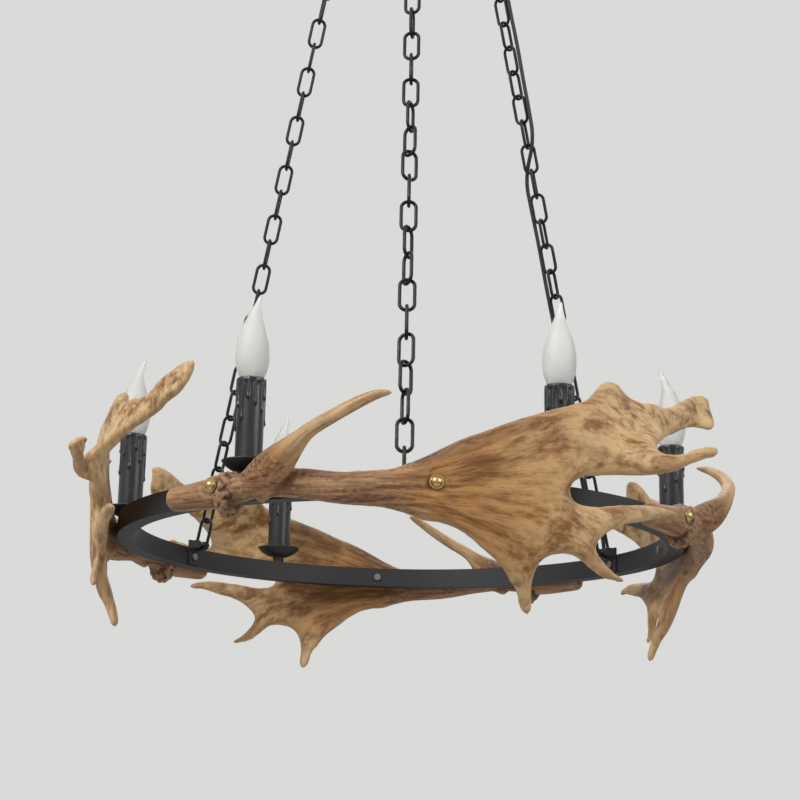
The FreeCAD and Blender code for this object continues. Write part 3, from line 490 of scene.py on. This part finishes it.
# The brow tine: place, half height and half thickness.
BROW_STATIONS = [
    ((-147, -306, -3), 19, 8), ((-136, -320, 5), 20, 10), ((-122, -337, 16), 18, 10.5),
    ((-110, -347, 27), 13.2, 9.8), ((-99, -353.5, 37.5), 8.8, 8.9), ((-89, -358, 45.6), 7.4, 8),
    ((-70, -362, 56.8), 6.9, 7.6), ((-48, -360, 70.4), 6.4, 7), ((-30, -352, 81.2), 5.2, 5.8),
    ((-19, -343, 86), 3.6, 4), ((-14, -337, 88), 2, 2.2),
]
TINE_TIPS = [(-14, 88), (200, 116), (318, 100), (305, 40), (271, -19), (213, -88), (121, -120)]
"""Where the tines end, seen from the front: their last few millimetres stay dark."""
# The screws' angles round the hoop, and how far out their nuts sit.
DOME_SEATS = [(-32.5, 351.5), (5.2, 341.7)]
ANTLER_TURNS = {"front": 0, "right": 90, "back": 180, "left": 270}
HOOP_LEVEL = -1.375768
CASTING_VOXEL = 2.0
PALM_VOXEL = 2.5
PALM_SLAB = 8
"""Half the thickness of the slab that the palm is cut from."""
CASTING_SMOOTHINGS = 4
SEAT_RADIUS = 13
SEAT_FADE = 4.5
GROOVE_DEEP = {"beam": 0.6, "brow": 0.4, "palm": 0.22}
PEARL_TALL = 0.8
BURR_ANGLE = -30.3
STUB_ANGLE = -33
"""The stub, where the antler was shed, lies on this side of the burr."""
BURR_KNOBS = 4.6
BURR_CRUST = 2.6


def thin_plate(points, values):
    """A smooth surface through values given at points: returns a function of (x, z)."""
    points = np.array(points, float) / 100
    values = np.array(values, float)

    def bend(squared):
        return squared * np.log(squared + 1e-9)

    count = len(points)
    gap = ((points[:, None] - points[None]) ** 2).sum(2)
    flat = np.column_stack([np.ones(count), points])
    system = np.block([[bend(gap) + 0.002 * np.eye(count), flat],
                       [flat.T, np.zeros((3, 3))]])
    weights = np.linalg.solve(system, np.concatenate([values, np.zeros(3)]))

    def surface(where):
        where = np.atleast_2d(np.array(where, float)) / 100
        gap = ((where[:, None] - points[None]) ** 2).sum(2)
        return bend(gap) @ weights[:count] + weights[count] + where @ weights[count + 1:]

    return surface


guide_places = [guide[:2] for guide in PALM_GUIDES]
palm_depth = thin_plate(guide_places, [guide[2] for guide in PALM_GUIDES])
palm_run = thin_plate(guide_places, [guide[3] for guide in PALM_GUIDES])
palm_line = thin_plate(guide_places, [guide[4] for guide in PALM_GUIDES])


def remeshed(mesh, size):
    """The union of a mesh's closed shells as one even skin."""
    shell = bpy.data.objects.new("casting_blank", mesh)
    bpy.context.scene.collection.objects.link(shell)
    skin = shell.modifiers.new("skin", "REMESH")
    skin.mode = "VOXEL"
    skin.voxel_size = size
    bpy.context.view_layer.update()
    depsgraph = bpy.context.evaluated_depsgraph_get()
    made = bpy.data.meshes.new_from_object(shell.evaluated_get(depsgraph))
    bpy.data.objects.remove(shell)
    return made


def corners(mesh):
    flat = np.empty(len(mesh.vertices) * 3, np.float32)
    mesh.vertices.foreach_get("co", flat)
    return flat.reshape(-1, 3).astype(float)


def palm_blank():
    """The palm and its tines: a slab cut to the outline, then swelled towards its middle."""
    edge = bpy.data.curves.new("palm_edge", "CURVE")
    edge.dimensions = "2D"
    edge.fill_mode = "BOTH"
    edge.extrude = PALM_SLAB
    edge.resolution_u = 6
    run = edge.splines.new("BEZIER")
    run.bezier_points.add(len(PALM_EDGE) - 1)
    for point, (across, up) in zip(run.bezier_points, PALM_EDGE):
        point.co = (across, up, 0)
        point.handle_left_type = point.handle_right_type = "AUTO"
    run.use_cyclic_u = True
    cut_out = curve_mesh(edge)
    rim = np.array([vert.co[:2] for vert in cut_out.vertices])
    even = remeshed(cut_out, PALM_VOXEL)
    flat = corners(even)
    rim_tree = kdtree.KDTree(len(rim) * 4)
    for index, (here, there) in enumerate(zip(rim, np.roll(rim, -1, 0))):
        near = np.linalg.norm(there - here) < 20
        for step in range(4):
            spot = here + (there - here) * (step / 4 if near else 0)
            rim_tree.insert((*spot, 0), index * 4 + step)
    rim_tree.balance()
    inset = np.array([rim_tree.find((x, y, 0))[2] for x, y, _ in flat])
    centres = np.argsort(-inset)[::9]
    half = inset.copy()
    for centre in centres:
        reach = inset[centre]
        near = ((flat[:, :2] - flat[centre, :2]) ** 2).sum(1) < reach * reach
        half[near] = np.maximum(half[near], reach)
    rounding = np.clip(half, 1.5, 13)
    across = flat[:, 0]
    fullest = 7.2 + 7 * np.clip((60 - across) / 95, 0, 1)
    swell = fullest * np.tanh(half * 1.05 / fullest)
    share = np.clip(inset / rounding, 0.02, 1)
    thick = swell * np.sqrt(1 - (1 - share) ** 2) * flat[:, 2] / PALM_SLAB
    where = flat[:, :2]
    depth = palm_depth(where)
    lean_x = (palm_depth(where + (1, 0)) - palm_depth(where - (1, 0))) / 2
    lean_z = (palm_depth(where + (0, 1)) - palm_depth(where - (0, 1))) / 2
    long = np.sqrt(1 + lean_x ** 2 + lean_z ** 2)
    placed = np.column_stack([across - thick * lean_x / long, -depth - thick / long,
                              flat[:, 1] - thick * lean_z / long])
    even.vertices.foreach_set("co", placed.astype(np.float32).ravel())
    return even


def limb(shape, stations):
    """A closed, tapering form through (place, way, up, half height, half thickness)."""
    ring = None
    last = len(stations) - 1
    for index, (place, way, up, height, thickness) in enumerate(stations):
        way = way.normalized()
        side = up.cross(way).normalized()
        turn = Matrix((way.cross(side), side, way)).transposed().to_4x4()
        frame = Matrix.Translation(place) @ turn @ Matrix.Diagonal((height, thickness, 1, 1))
        made = bmesh.ops.create_circle(shape, segments=28, radius=1, matrix=frame,
                                       cap_ends=index in (0, last))
        fresh = list({edge for vert in made["verts"] for edge in vert.link_edges
                      if all(end in made["verts"] for end in edge.verts)})
        if ring:
            bmesh.ops.bridge_loops(shape, edges=ring + fresh)
        ring = fresh


def smooth_stations(stations, steps=4):
    """More stations between the given ones, along smooth curves."""
    table = np.array(stations, float)
    places = np.arange(len(table))
    fine = np.linspace(0, len(table) - 1, steps * (len(table) - 1) + 1)
    ends = np.vstack([2 * table[0] - table[1], table, 2 * table[-1] - table[-2]])
    rows = []
    for spot in fine:
        left = min(int(spot), len(table) - 2)
        part = spot - left
        a, b, c, d = ends[left:left + 4]
        rows.append(0.5 * (2 * b + (c - a) * part + (2 * a - 5 * b + 4 * c - d) * part ** 2
                           + (3 * b - 3 * c + d - a) * part ** 3))
    return np.array(rows)


def on_beam(angle, height, radius=BEAM_RADIUS):
    turn = math.radians(angle)
    return Vector((radius * math.sin(turn), -radius * math.cos(turn), height))


def beam_blank(shape):
    rows = smooth_stations(BEAM_STATIONS)
    places = [on_beam(angle, height, radius) for angle, radius, height, _, _ in rows]
    stations = []
    for index, (_, _, _, tall, thick) in enumerate(rows):
        ahead = places[min(index + 1, len(rows) - 1)] - places[max(index - 1, 0)]
        stations.append((places[index], ahead, Vector((0, 0, 1)), tall, thick))
    limb(shape, stations)


def burr_blank(shape):
    """The coronet: a thick ring round the beam, proud at its top and bottom."""
    limb(shape, [(on_beam(angle, height), on_beam(angle + 90, 0), Vector((0, 0, 1)), tall, thick)
                 for angle, height, tall, thick in smooth_stations(BURR_STATIONS, 2)])


def brow_blank(shape):
    rows = smooth_stations([(*place, tall, thick) for place, tall, thick in BROW_STATIONS])
    places = [Vector(row[:3]) for row in rows]
    stations = []
    for index, row in enumerate(rows):
        way = places[min(index + 1, len(rows) - 1)] - places[max(index - 1, 0)]
        side = Vector((0.1, 1, 0))
        stations.append((places[index], way, side.cross(way) * -1, row[3], row[4]))
    limb(shape, stations)
    return rows


def casting():
    """The antler's blanks joined into one even, smoothed skin, with the brow's stations."""
    shape = bmesh.new()
    shape.from_mesh(palm_blank())
    beam_blank(shape)
    burr_blank(shape)
    brow_rows = brow_blank(shape)
    rough = bpy.data.meshes.new("casting_rough")
    shape.to_mesh(rough)
    shape.free()
    skin = remeshed(rough, CASTING_VOXEL)
    shape = bmesh.new()
    shape.from_mesh(skin)
    for _ in range(CASTING_SMOOTHINGS):
        bmesh.ops.smooth_vert(shape, verts=shape.verts, factor=0.5, use_axis_x=True,
                              use_axis_y=True, use_axis_z=True)
    bmesh.ops.recalc_face_normals(shape, faces=shape.faces)
    shape.normal_update()
    return shape, brow_rows


def ridged(value, width):
    """1 in a narrow line where the noise passes through 0, and 0 away from it."""
    return max(0.0, 1 - abs(value) / width) ** 2


def carve(shape, brow_rows):
    """Grooves and pearls on the beam, the burr's knobs and the palm's long grain."""
    grain = shape.verts.layers.float_vector.new("grain")
    stain = shape.verts.layers.float_vector.new("stain")
    brow_tree = kdtree.KDTree(len(brow_rows))
    for index, row in enumerate(brow_rows):
        brow_tree.insert(row[:3], index)
    brow_tree.balance()
    flat = np.array([vert.co[:] for vert in shape.verts])
    where = flat[:, (0, 2)]
    run = palm_run(where)
    line = palm_line(where)
    moves = []
    for index, vert in enumerate(shape.verts):
        x, y, z = vert.co
        angle = math.degrees(math.atan2(x, -y))
        arc = math.radians(angle) * BEAM_RADIUS
        out = math.hypot(x, y) - BEAM_RADIUS
        _, nearest, gap = brow_tree.find(vert.co)
        brow = min(1, max(0, (26 - gap) / 8)) * min(1, max(0, (nearest - 5) / 5))
        palm = min(1, max(0, (arc + 12) / 34))
        beam = (1 - palm) * (1 - brow)
        along = run[index] * palm + arc * (1 - palm)
        across = line[index] * palm + z * (1 - palm)
        deep = (-y - 328) * palm + out * (1 - palm)
        if brow:
            row = brow_rows[nearest]
            along = along * (1 - brow) + (row[0] * 1.2 + 60) * brow
            across = across * (1 - brow) + (z - row[2] - 0.55 * (x - row[0])) * brow
            deep = deep * (1 - brow) + (y - row[1]) * brow
        vert[grain] = (along, across, deep)
        burr = max(0, 1 - abs(angle - BURR_ANGLE) / 2.4)
        pearly = max(0, 1 - abs(angle + 26) / 6) + 0.3 * brow * max(0, 1 - nearest / 22)
        flow = Vector((along * 0.016, across * 0.17, deep * 0.17))
        groove = ridged(noise.noise(flow), 0.16) + 0.6 * ridged(noise.noise(flow * 2.1), 0.2)
        rise = -groove * (GROOVE_DEEP["beam"] * beam * (0.5 if angle < STUB_ANGLE else 1)
                          + GROOVE_DEEP["brow"] * brow * max(0.15, 1 - nearest / 30)
                          + GROOVE_DEEP["palm"] * palm)
        if pearly > 0:
            cell = noise.voronoi(vert.co / 5.5)[0][0]
            rise += pearly * PEARL_TALL * max(0, 0.55 - cell)
        if burr > 0:
            cell = noise.voronoi(vert.co / 9.5)[0][0]
            rise += burr * (BURR_KNOBS * (0.5 - cell)
                            + BURR_CRUST * noise.noise(vert.co / 4.0))
        swell = noise.noise(Vector((along * 0.018, across * 0.06, 7.0 * (1 if y < -328 else -1))))
        rise += palm * (1.3 * swell + 0.5 * noise.noise(flow * 0.9))
        moves.append(rise)
        worn = min(1, max(0, (run[index] - 60) / 170)) if palm else 0
        if brow:
            worn = max(worn, brow * min(1, max(0, (nearest - 8) / 14)))
        vert[stain] = (worn, min(1, beam + 0.6 * burr), burr)
    for vert, rise in zip(shape.verts, moves):
        vert.co += vert.normal * rise
    shape.normal_update()


def note_hollows(shape):
    """Keeps how far each spot lies below (1) or above (0) its neighbours, for the stain."""
    hollow = shape.verts.layers.float.new("hollow")
    shape.verts.ensure_lookup_table()
    bend = np.array([((sum((e.other_vert(v).co for e in v.link_edges), Vector())
                       / max(1, len(v.link_edges))) - v.co).dot(v.normal)
                     for v in shape.verts])
    links = [[e.other_vert(v).index for e in v.link_edges] for v in shape.verts]
    for _ in range(3):
        bend = np.array([0.5 * bend[i] + 0.5 * np.mean(bend[near]) for i, near in
                         enumerate(links)])
    for vert, value in zip(shape.verts, bend):
        ends = [math.hypot(vert.co.x - x, vert.co.z - z) for x, z in TINE_TIPS]
        vert[hollow] = min(1, max(0, 0.5 + value * 2.2 + 0.25 * max(0, 1 - min(ends) / 12)))


def antler_resin():
    """Painted cast resin: brown stain in grooves and hollows, rubbed pale on what stands out."""
    resin = Finish("antler_resin")
    flow = resin.node("Attribute", {"attribute_name": "grain"}, output=1)
    stain = resin.node("Attribute", {"attribute_name": "stain"}, output=1)
    worn, beam, burr = [resin.node("SeparateXYZ", {}, {0: stain}, index) for index in range(3)]
    hollow = resin.node("Attribute", {"attribute_name": "hollow"}, output=2)
    across = resin.node("SeparateXYZ", {}, {0: flow}, 1)

    def stretched(*shares):
        return resin.node("VectorMath", {"operation": "MULTIPLY"}, {0: flow, 1: shares})

    broad = resin.grain(1.0, 5.0, 0.6, stretched(0.011, 0.09, 0.06))
    streaks = resin.grain(1.0, 6.0, 0.65, stretched(0.018, 0.30, 0.18))
    hairs = resin.grain(1.0, 4.0, 0.6, stretched(0.07, 1.1, 0.6))
    mottle = resin.grain(34.0, 6.0, 0.7)
    pits = resin.stepped(resin.grain(170.0, 3.0, 0.6), 0.60, 0.72)
    palm = resin.tinted(resin.stepped(0.45 * broad + 0.55 * streaks, 0.40, 0.60),
                        (0.150, 0.054, 0.011, 1), (0.445, 0.218, 0.070, 1))
    tips = resin.tinted(resin.stepped(0.6 * streaks + 0.4 * mottle, 0.40, 0.58),
                        (0.230, 0.098, 0.028, 1), (0.650, 0.440, 0.220, 1))
    stem = resin.tinted(resin.stepped(0.6 * streaks + 0.4 * broad, 0.38, 0.62),
                        (0.125, 0.043, 0.013, 1), (0.385, 0.205, 0.098, 1))
    body = resin.tinted(worn, palm, tips)
    body = resin.tinted(beam, body, stem)
    body = resin.tinted(0.35 * pits, body, (0.110, 0.042, 0.013, 1))
    crusty = resin.tinted(burr, body, (0.125, 0.052, 0.024, 1))
    edge = resin.stepped(across + 6.0 * (streaks - 0.5), 11.0, 19.0) * (1.0 - worn)
    rimmed = resin.tinted(0.8 * edge, crusty, (0.070, 0.024, 0.008, 1))
    dark = resin.stepped(hollow + 0.26 * (streaks - 0.5), 0.54, 0.72)
    lined = resin.tinted(0.85 * dark, rimmed, (0.045, 0.017, 0.006, 1))
    threads = resin.stepped(hairs, 0.55, 0.72) * resin.stepped(broad, 0.62, 0.40)
    lined = resin.tinted(0.55 * threads, lined, (0.090, 0.034, 0.012, 1))
    rubbed = resin.stepped(hollow + 0.10 * (streaks - 0.5), 0.45, 0.30)
    pale = resin.tinted(0.4 * rubbed, lined, (0.560, 0.380, 0.210, 1))
    resin.feed(resin.skin, {"Base Color": pale, "Roughness": 0.40 + 0.2 * streaks,
                            "Specular IOR Level": 0.35})
    resin.dented(hairs + 0.6 * streaks, 0.0007)
    return resin.material


def seat_domes(shape):
    """Flat round seats for the brass nuts, where the screws come through."""
    for angle, seat in DOME_SEATS:
        turn = math.radians(angle)
        out = Vector((math.sin(turn), -math.cos(turn), 0))
        for vert in shape.verts:
            height = vert.co.dot(out)
            gap = (vert.co - out * height).length
            if height > BEAM_RADIUS - 4 and gap < SEAT_RADIUS:
                share = min(1, max(0, (SEAT_RADIUS - gap) / SEAT_FADE))
                vert.co += out * (seat - height) * share


def antlers():
    shape, brow_rows = casting()
    carve(shape, brow_rows)
    seat_domes(shape)
    note_hollows(shape)
    cast = smooth_mesh(shape, "antler_cast")
    cast.materials.append(antler_resin())
    for side, turn in ANTLER_TURNS.items():
        mesh = cast.copy()
        mesh.transform(Matrix.Translation((0, 0, HOOP_LEVEL))
                       @ Matrix.Rotation(math.radians(turn), 4, "Z") @ Matrix.Scale(0.001, 4))
        fit_piece("antler_" + side + "_cast", mesh, "antler_" + side)


antlers()


# ---------------------------------------------------------------- brass dome nuts
# Eight domed nuts of polished, lacquered brass close the screws that come out through the
# antlers' faces, one at each stub and one at the narrow end of each palm.
def polished_brass():
    brass = Finish("polished_brass", Metallic=1.0)
    tarnish = brass.stepped(brass.grain(120.0, 5.0), 0.45, 0.8)
    brass.feed(brass.skin, {
        "Base Color": brass.tinted(tarnish, (0.60, 0.43, 0.18, 1), (0.38, 0.26, 0.10, 1)),
        "Roughness": 0.24 + 0.22 * tarnish,
    })
    return brass.material


dress(polished_brass(), "brass_dome_nuts")


# ---------------------------------------------------------------- candle lamps
# Each lamp stands on its stem: a pan spun from sheet steel and coated like the hoop, and in it a
# sleeve moulded in black plastic, with the rim and the runs of a burnt candle, over a lampholder.
LAMP_CIRCLE = 310.5
PAN_FLOOR = 19.5
"""The pans' underside above the middle of the hoop."""
SLEEVE_TALL = 94
SLEEVE_RADIUS = 14
# Runs of wax: bearing round the sleeve, how far each comes down, and half its width in degrees.
WAX_RUNS = [
    (8, 33, 8), (34, 19, 7), (60, 45, 8), (88, 24, 8), (115, 39, 7), (143, 17, 8), (170, 31, 8),
    (197, 22, 7), (226, 51, 8), (254, 28, 8), (283, 41, 7), (310, 20, 8), (336, 26, 7),
]
OUTER_ROWS = 80
RIM_ROWS = 10
TURN_STEP = 1.9
"""How many degrees each lamp is turned past the one before, so that no two look alike."""
# A pan's section: radius and height, up its underside and back down inside.
PAN_PROFILE = [
    (4, 0), (12, 0), (15, 1.2), (18.5, 3), (22.5, 6), (25.6, 9.3), (27, 11), (26.5, 11), (25, 9.8),
    (22, 6.9), (18, 4), (14.6, 2.2), (11.8, 1), (4, 1),
]


def candle_plastic():
    wax = Finish("candle_plastic")
    cloud = wax.grain(60.0, 4.0)
    wax.feed(wax.skin, {
        "Base Color": wax.tinted(cloud, (0.009, 0.009, 0.010, 1), (0.018, 0.018, 0.020, 1)),
        "Roughness": 0.24 + 0.18 * cloud,
    })
    wax.dented(wax.grain(500.0, 2.0), 0.0001)
    return wax.material


def wax_radius(turn, drop):
    """How far out the wax stands at a bearing, a drop below the rim."""
    rough = noise.noise(Vector((turn * 0.06, drop * 0.25, 0)))
    skin = SLEEVE_RADIUS + max(0, 1 - drop / 15) * (0.5 + 0.5 * rough)
    skin += 0.8 * math.exp(-(drop - 2) ** 2 / 8)
    for bearing, reach, wide in WAX_RUNS:
        sway = bearing + 3 * math.sin(drop * 0.15 + bearing)
        gap = abs((turn - sway + 180) % 360 - 180) / wide
        past = max(0, (drop - reach) / 2.5)
        if gap * gap + past * past < 1:
            bead = 0.7 * max(0, 1 - abs(drop - reach) / 4)
            run = (1.35 + bead) * math.sqrt(1 - gap * gap - past * past)
            skin = max(skin, SLEEVE_RADIUS + run)
    return skin


def sleeve_point(turn, row):
    """Up the outside, over the rounded rim, and a little way down the inside."""
    if row <= OUTER_ROWS:
        drop = SLEEVE_TALL * (1 - row / OUTER_ROWS)
        radius, height = wax_radius(turn, drop), SLEEVE_TALL - drop
    else:
        bend = math.pi * min(1, 2 * (row - OUTER_ROWS) / RIM_ROWS)
        rim = wax_radius(turn, 0)
        inside = SLEEVE_RADIUS - 1
        radius = inside + (rim - inside) * (1 + math.cos(bend)) / 2
        height = SLEEVE_TALL + 0.9 * math.sin(bend)
        height -= max(0, row - OUTER_ROWS - RIM_ROWS / 2) * 2
    around = math.radians(turn)
    return Vector((radius * math.cos(around), radius * math.sin(around), height))


def wax_sleeve():
    shape = bmesh.new()
    rows = OUTER_ROWS + RIM_ROWS
    bmesh.ops.create_grid(shape, x_segments=144, y_segments=rows, size=1)
    for vert in shape.verts:
        vert.co = sleeve_point((vert.co.x + 1) * 180, round((vert.co.y + 1) * rows / 2))
    bmesh.ops.remove_doubles(shape, verts=shape.verts, dist=0.001)
    bmesh.ops.recalc_face_normals(shape, faces=shape.faces)
    return smooth_mesh(shape, "wax_sleeve")


def spun_pan():
    """A shallow spun dish with a sharp rim, on a short foot that holds the sleeve."""
    shape = bmesh.new()
    spots = [shape.verts.new((radius, 0, height)) for radius, height in PAN_PROFILE]
    line = [shape.edges.new(pair) for pair in zip(spots, spots[1:])]
    bmesh.ops.spin(shape, geom=spots + line, axis=(0, 0, 1), steps=72, angle=2 * math.pi)
    bmesh.ops.remove_doubles(shape, verts=shape.verts, dist=0.001)
    bmesh.ops.recalc_face_normals(shape, faces=shape.faces)
    return smooth_mesh(shape, "spun_pan")


def set_lamp_pieces():
    for pattern, label, slot, finish, height in (
            (wax_sleeve(), "candle_sleeve_", "candle_plastic", wax, PAN_FLOOR + 1),
            (spun_pan(), "drip_pan_", "black_steel", coat, PAN_FLOOR)):
        pattern.materials.append(finish)
        for index, letter in enumerate(LETTERS):
            bearing = math.radians(60 * index)
            mesh = pattern.copy()
            mesh.transform(
                Matrix.Translation((0, 0, HOOP_LEVEL)) @ Matrix.Scale(0.001, 4)
                @ Matrix.Rotation(bearing, 4, "Z") @ Matrix.Translation((LAMP_CIRCLE, 0, height))
                @ Matrix.Rotation(TURN_STEP * index, 4, "Z"))
            fit_piece(label + letter + "_formed", mesh, label + letter)


wax = candle_plastic()
set_lamp_pieces()
dress(rubber, "lampholders")


# ---------------------------------------------------------------- bulbs
# Six flame-tip candle bulbs: thin glass, frosted inside, with its tip drawn out and bent over,
# on a nickel-plated screw cap that turns into the lampholder.
def frosted_glass():
    glass = Finish("frosted_glass", Transmission_Weight=0.55, IOR=1.3)
    frost = glass.grain(40.0, 3.0)
    glass.feed(glass.skin, {
        "Base Color": glass.tinted(frost, (0.84, 0.84, 0.82, 1), (0.92, 0.92, 0.90, 1)),
        "Roughness": 0.35 + 0.15 * frost,
    })
    return glass.material


frost = frosted_glass()
cap_metal = moulded("cap_metal", (0.55, 0.55, 0.53, 1), (0.7, 0.7, 0.68, 1), 0.35)
dress(frost, *["bulb_glass_" + letter for letter in LETTERS])
dress(cap_metal, *["bulb_cap_" + letter for letter in LETTERS])


# ---------------------------------------------------------------- room
# A pale floor well below the hoop keeps the light's shadow.  The camera, mirrors and glass see a
# pale grey wall, while the object gets softer light from the same side, and three large lamps.
FLOOR_LEVEL = -2.6
FLOOR_HALF = 40.0
WALL_GREY = (0.70, 0.70, 0.69, 1)
FILL_STRENGTH = 0.34
HOOP_CENTRE = Vector((0, 0, -1.376))

slab = bmesh.new()
bmesh.ops.create_grid(slab, x_segments=1, y_segments=1, size=FLOOR_HALF,
                      matrix=Matrix.Translation((0, 0, FLOOR_LEVEL)))
floor_mesh = bpy.data.meshes.new("floor")
slab.to_mesh(floor_mesh)
slab.free()
floor = bpy.data.objects.new("floor", floor_mesh)
bpy.context.scene.collection.objects.link(floor)
paint = Finish("pale_floor", Roughness=0.9)
seen_by_camera = paint.node("LightPath")
paint.feed(paint.skin, {
    "Base Color": (0.62, 0.62, 0.61, 1),
    "Emission Color": paint.tinted(seen_by_camera, (0, 0, 0, 1), (0.32, 0.32, 0.315, 1)),
})
paint.skin.inputs["Emission Strength"].default_value = 1.0
floor_mesh.materials.append(paint.material)

world = bpy.data.worlds.new("studio")
world.use_nodes = True
bpy.context.scene.world = world
tree = world.node_tree
tree.nodes.clear()
path = tree.nodes.new("ShaderNodeLightPath")


def either(first, second):
    most = tree.nodes.new("ShaderNodeMath")
    most.operation = "MAXIMUM"
    tree.links.new(first, most.inputs[0])
    tree.links.new(second, most.inputs[1])
    return most.outputs[0]


def surround(colour, strength):
    glow = tree.nodes.new("ShaderNodeBackground")
    glow.inputs["Color"].default_value = colour
    glow.inputs["Strength"].default_value = strength
    return glow.outputs[0]


seen = either(path.outputs["Is Camera Ray"], path.outputs["Is Transmission Ray"])
seen = either(seen, path.outputs["Is Glossy Ray"])
blend = tree.nodes.new("ShaderNodeMixShader")
tree.links.new(seen, blend.inputs[0])
tree.links.new(surround((1, 1, 1, 1), FILL_STRENGTH), blend.inputs[1])
tree.links.new(surround(WALL_GREY, 1.0), blend.inputs[2])
sky = tree.nodes.new("ShaderNodeOutputWorld")
tree.links.new(blend.outputs[0], sky.inputs[0])


def softbox(name, place, size, watts):
    lamp = bpy.data.lights.new(name, "AREA")
    lamp.shape = "SQUARE"
    lamp.size = size
    lamp.energy = watts
    box = bpy.data.objects.new(name, lamp)
    box.location = HOOP_CENTRE + Vector(place)
    box.rotation_euler = (-Vector(place)).to_track_quat("-Z", "Y").to_euler()
    bpy.context.scene.collection.objects.link(box)


softbox("key_left", (-1.5, -1.8, 1.7), 1.2, 62)
softbox("fill_right", (1.9, -1.3, 1.0), 1.2, 20)
softbox("rim_back", (0.4, 2.0, 1.5), 1.6, 22)
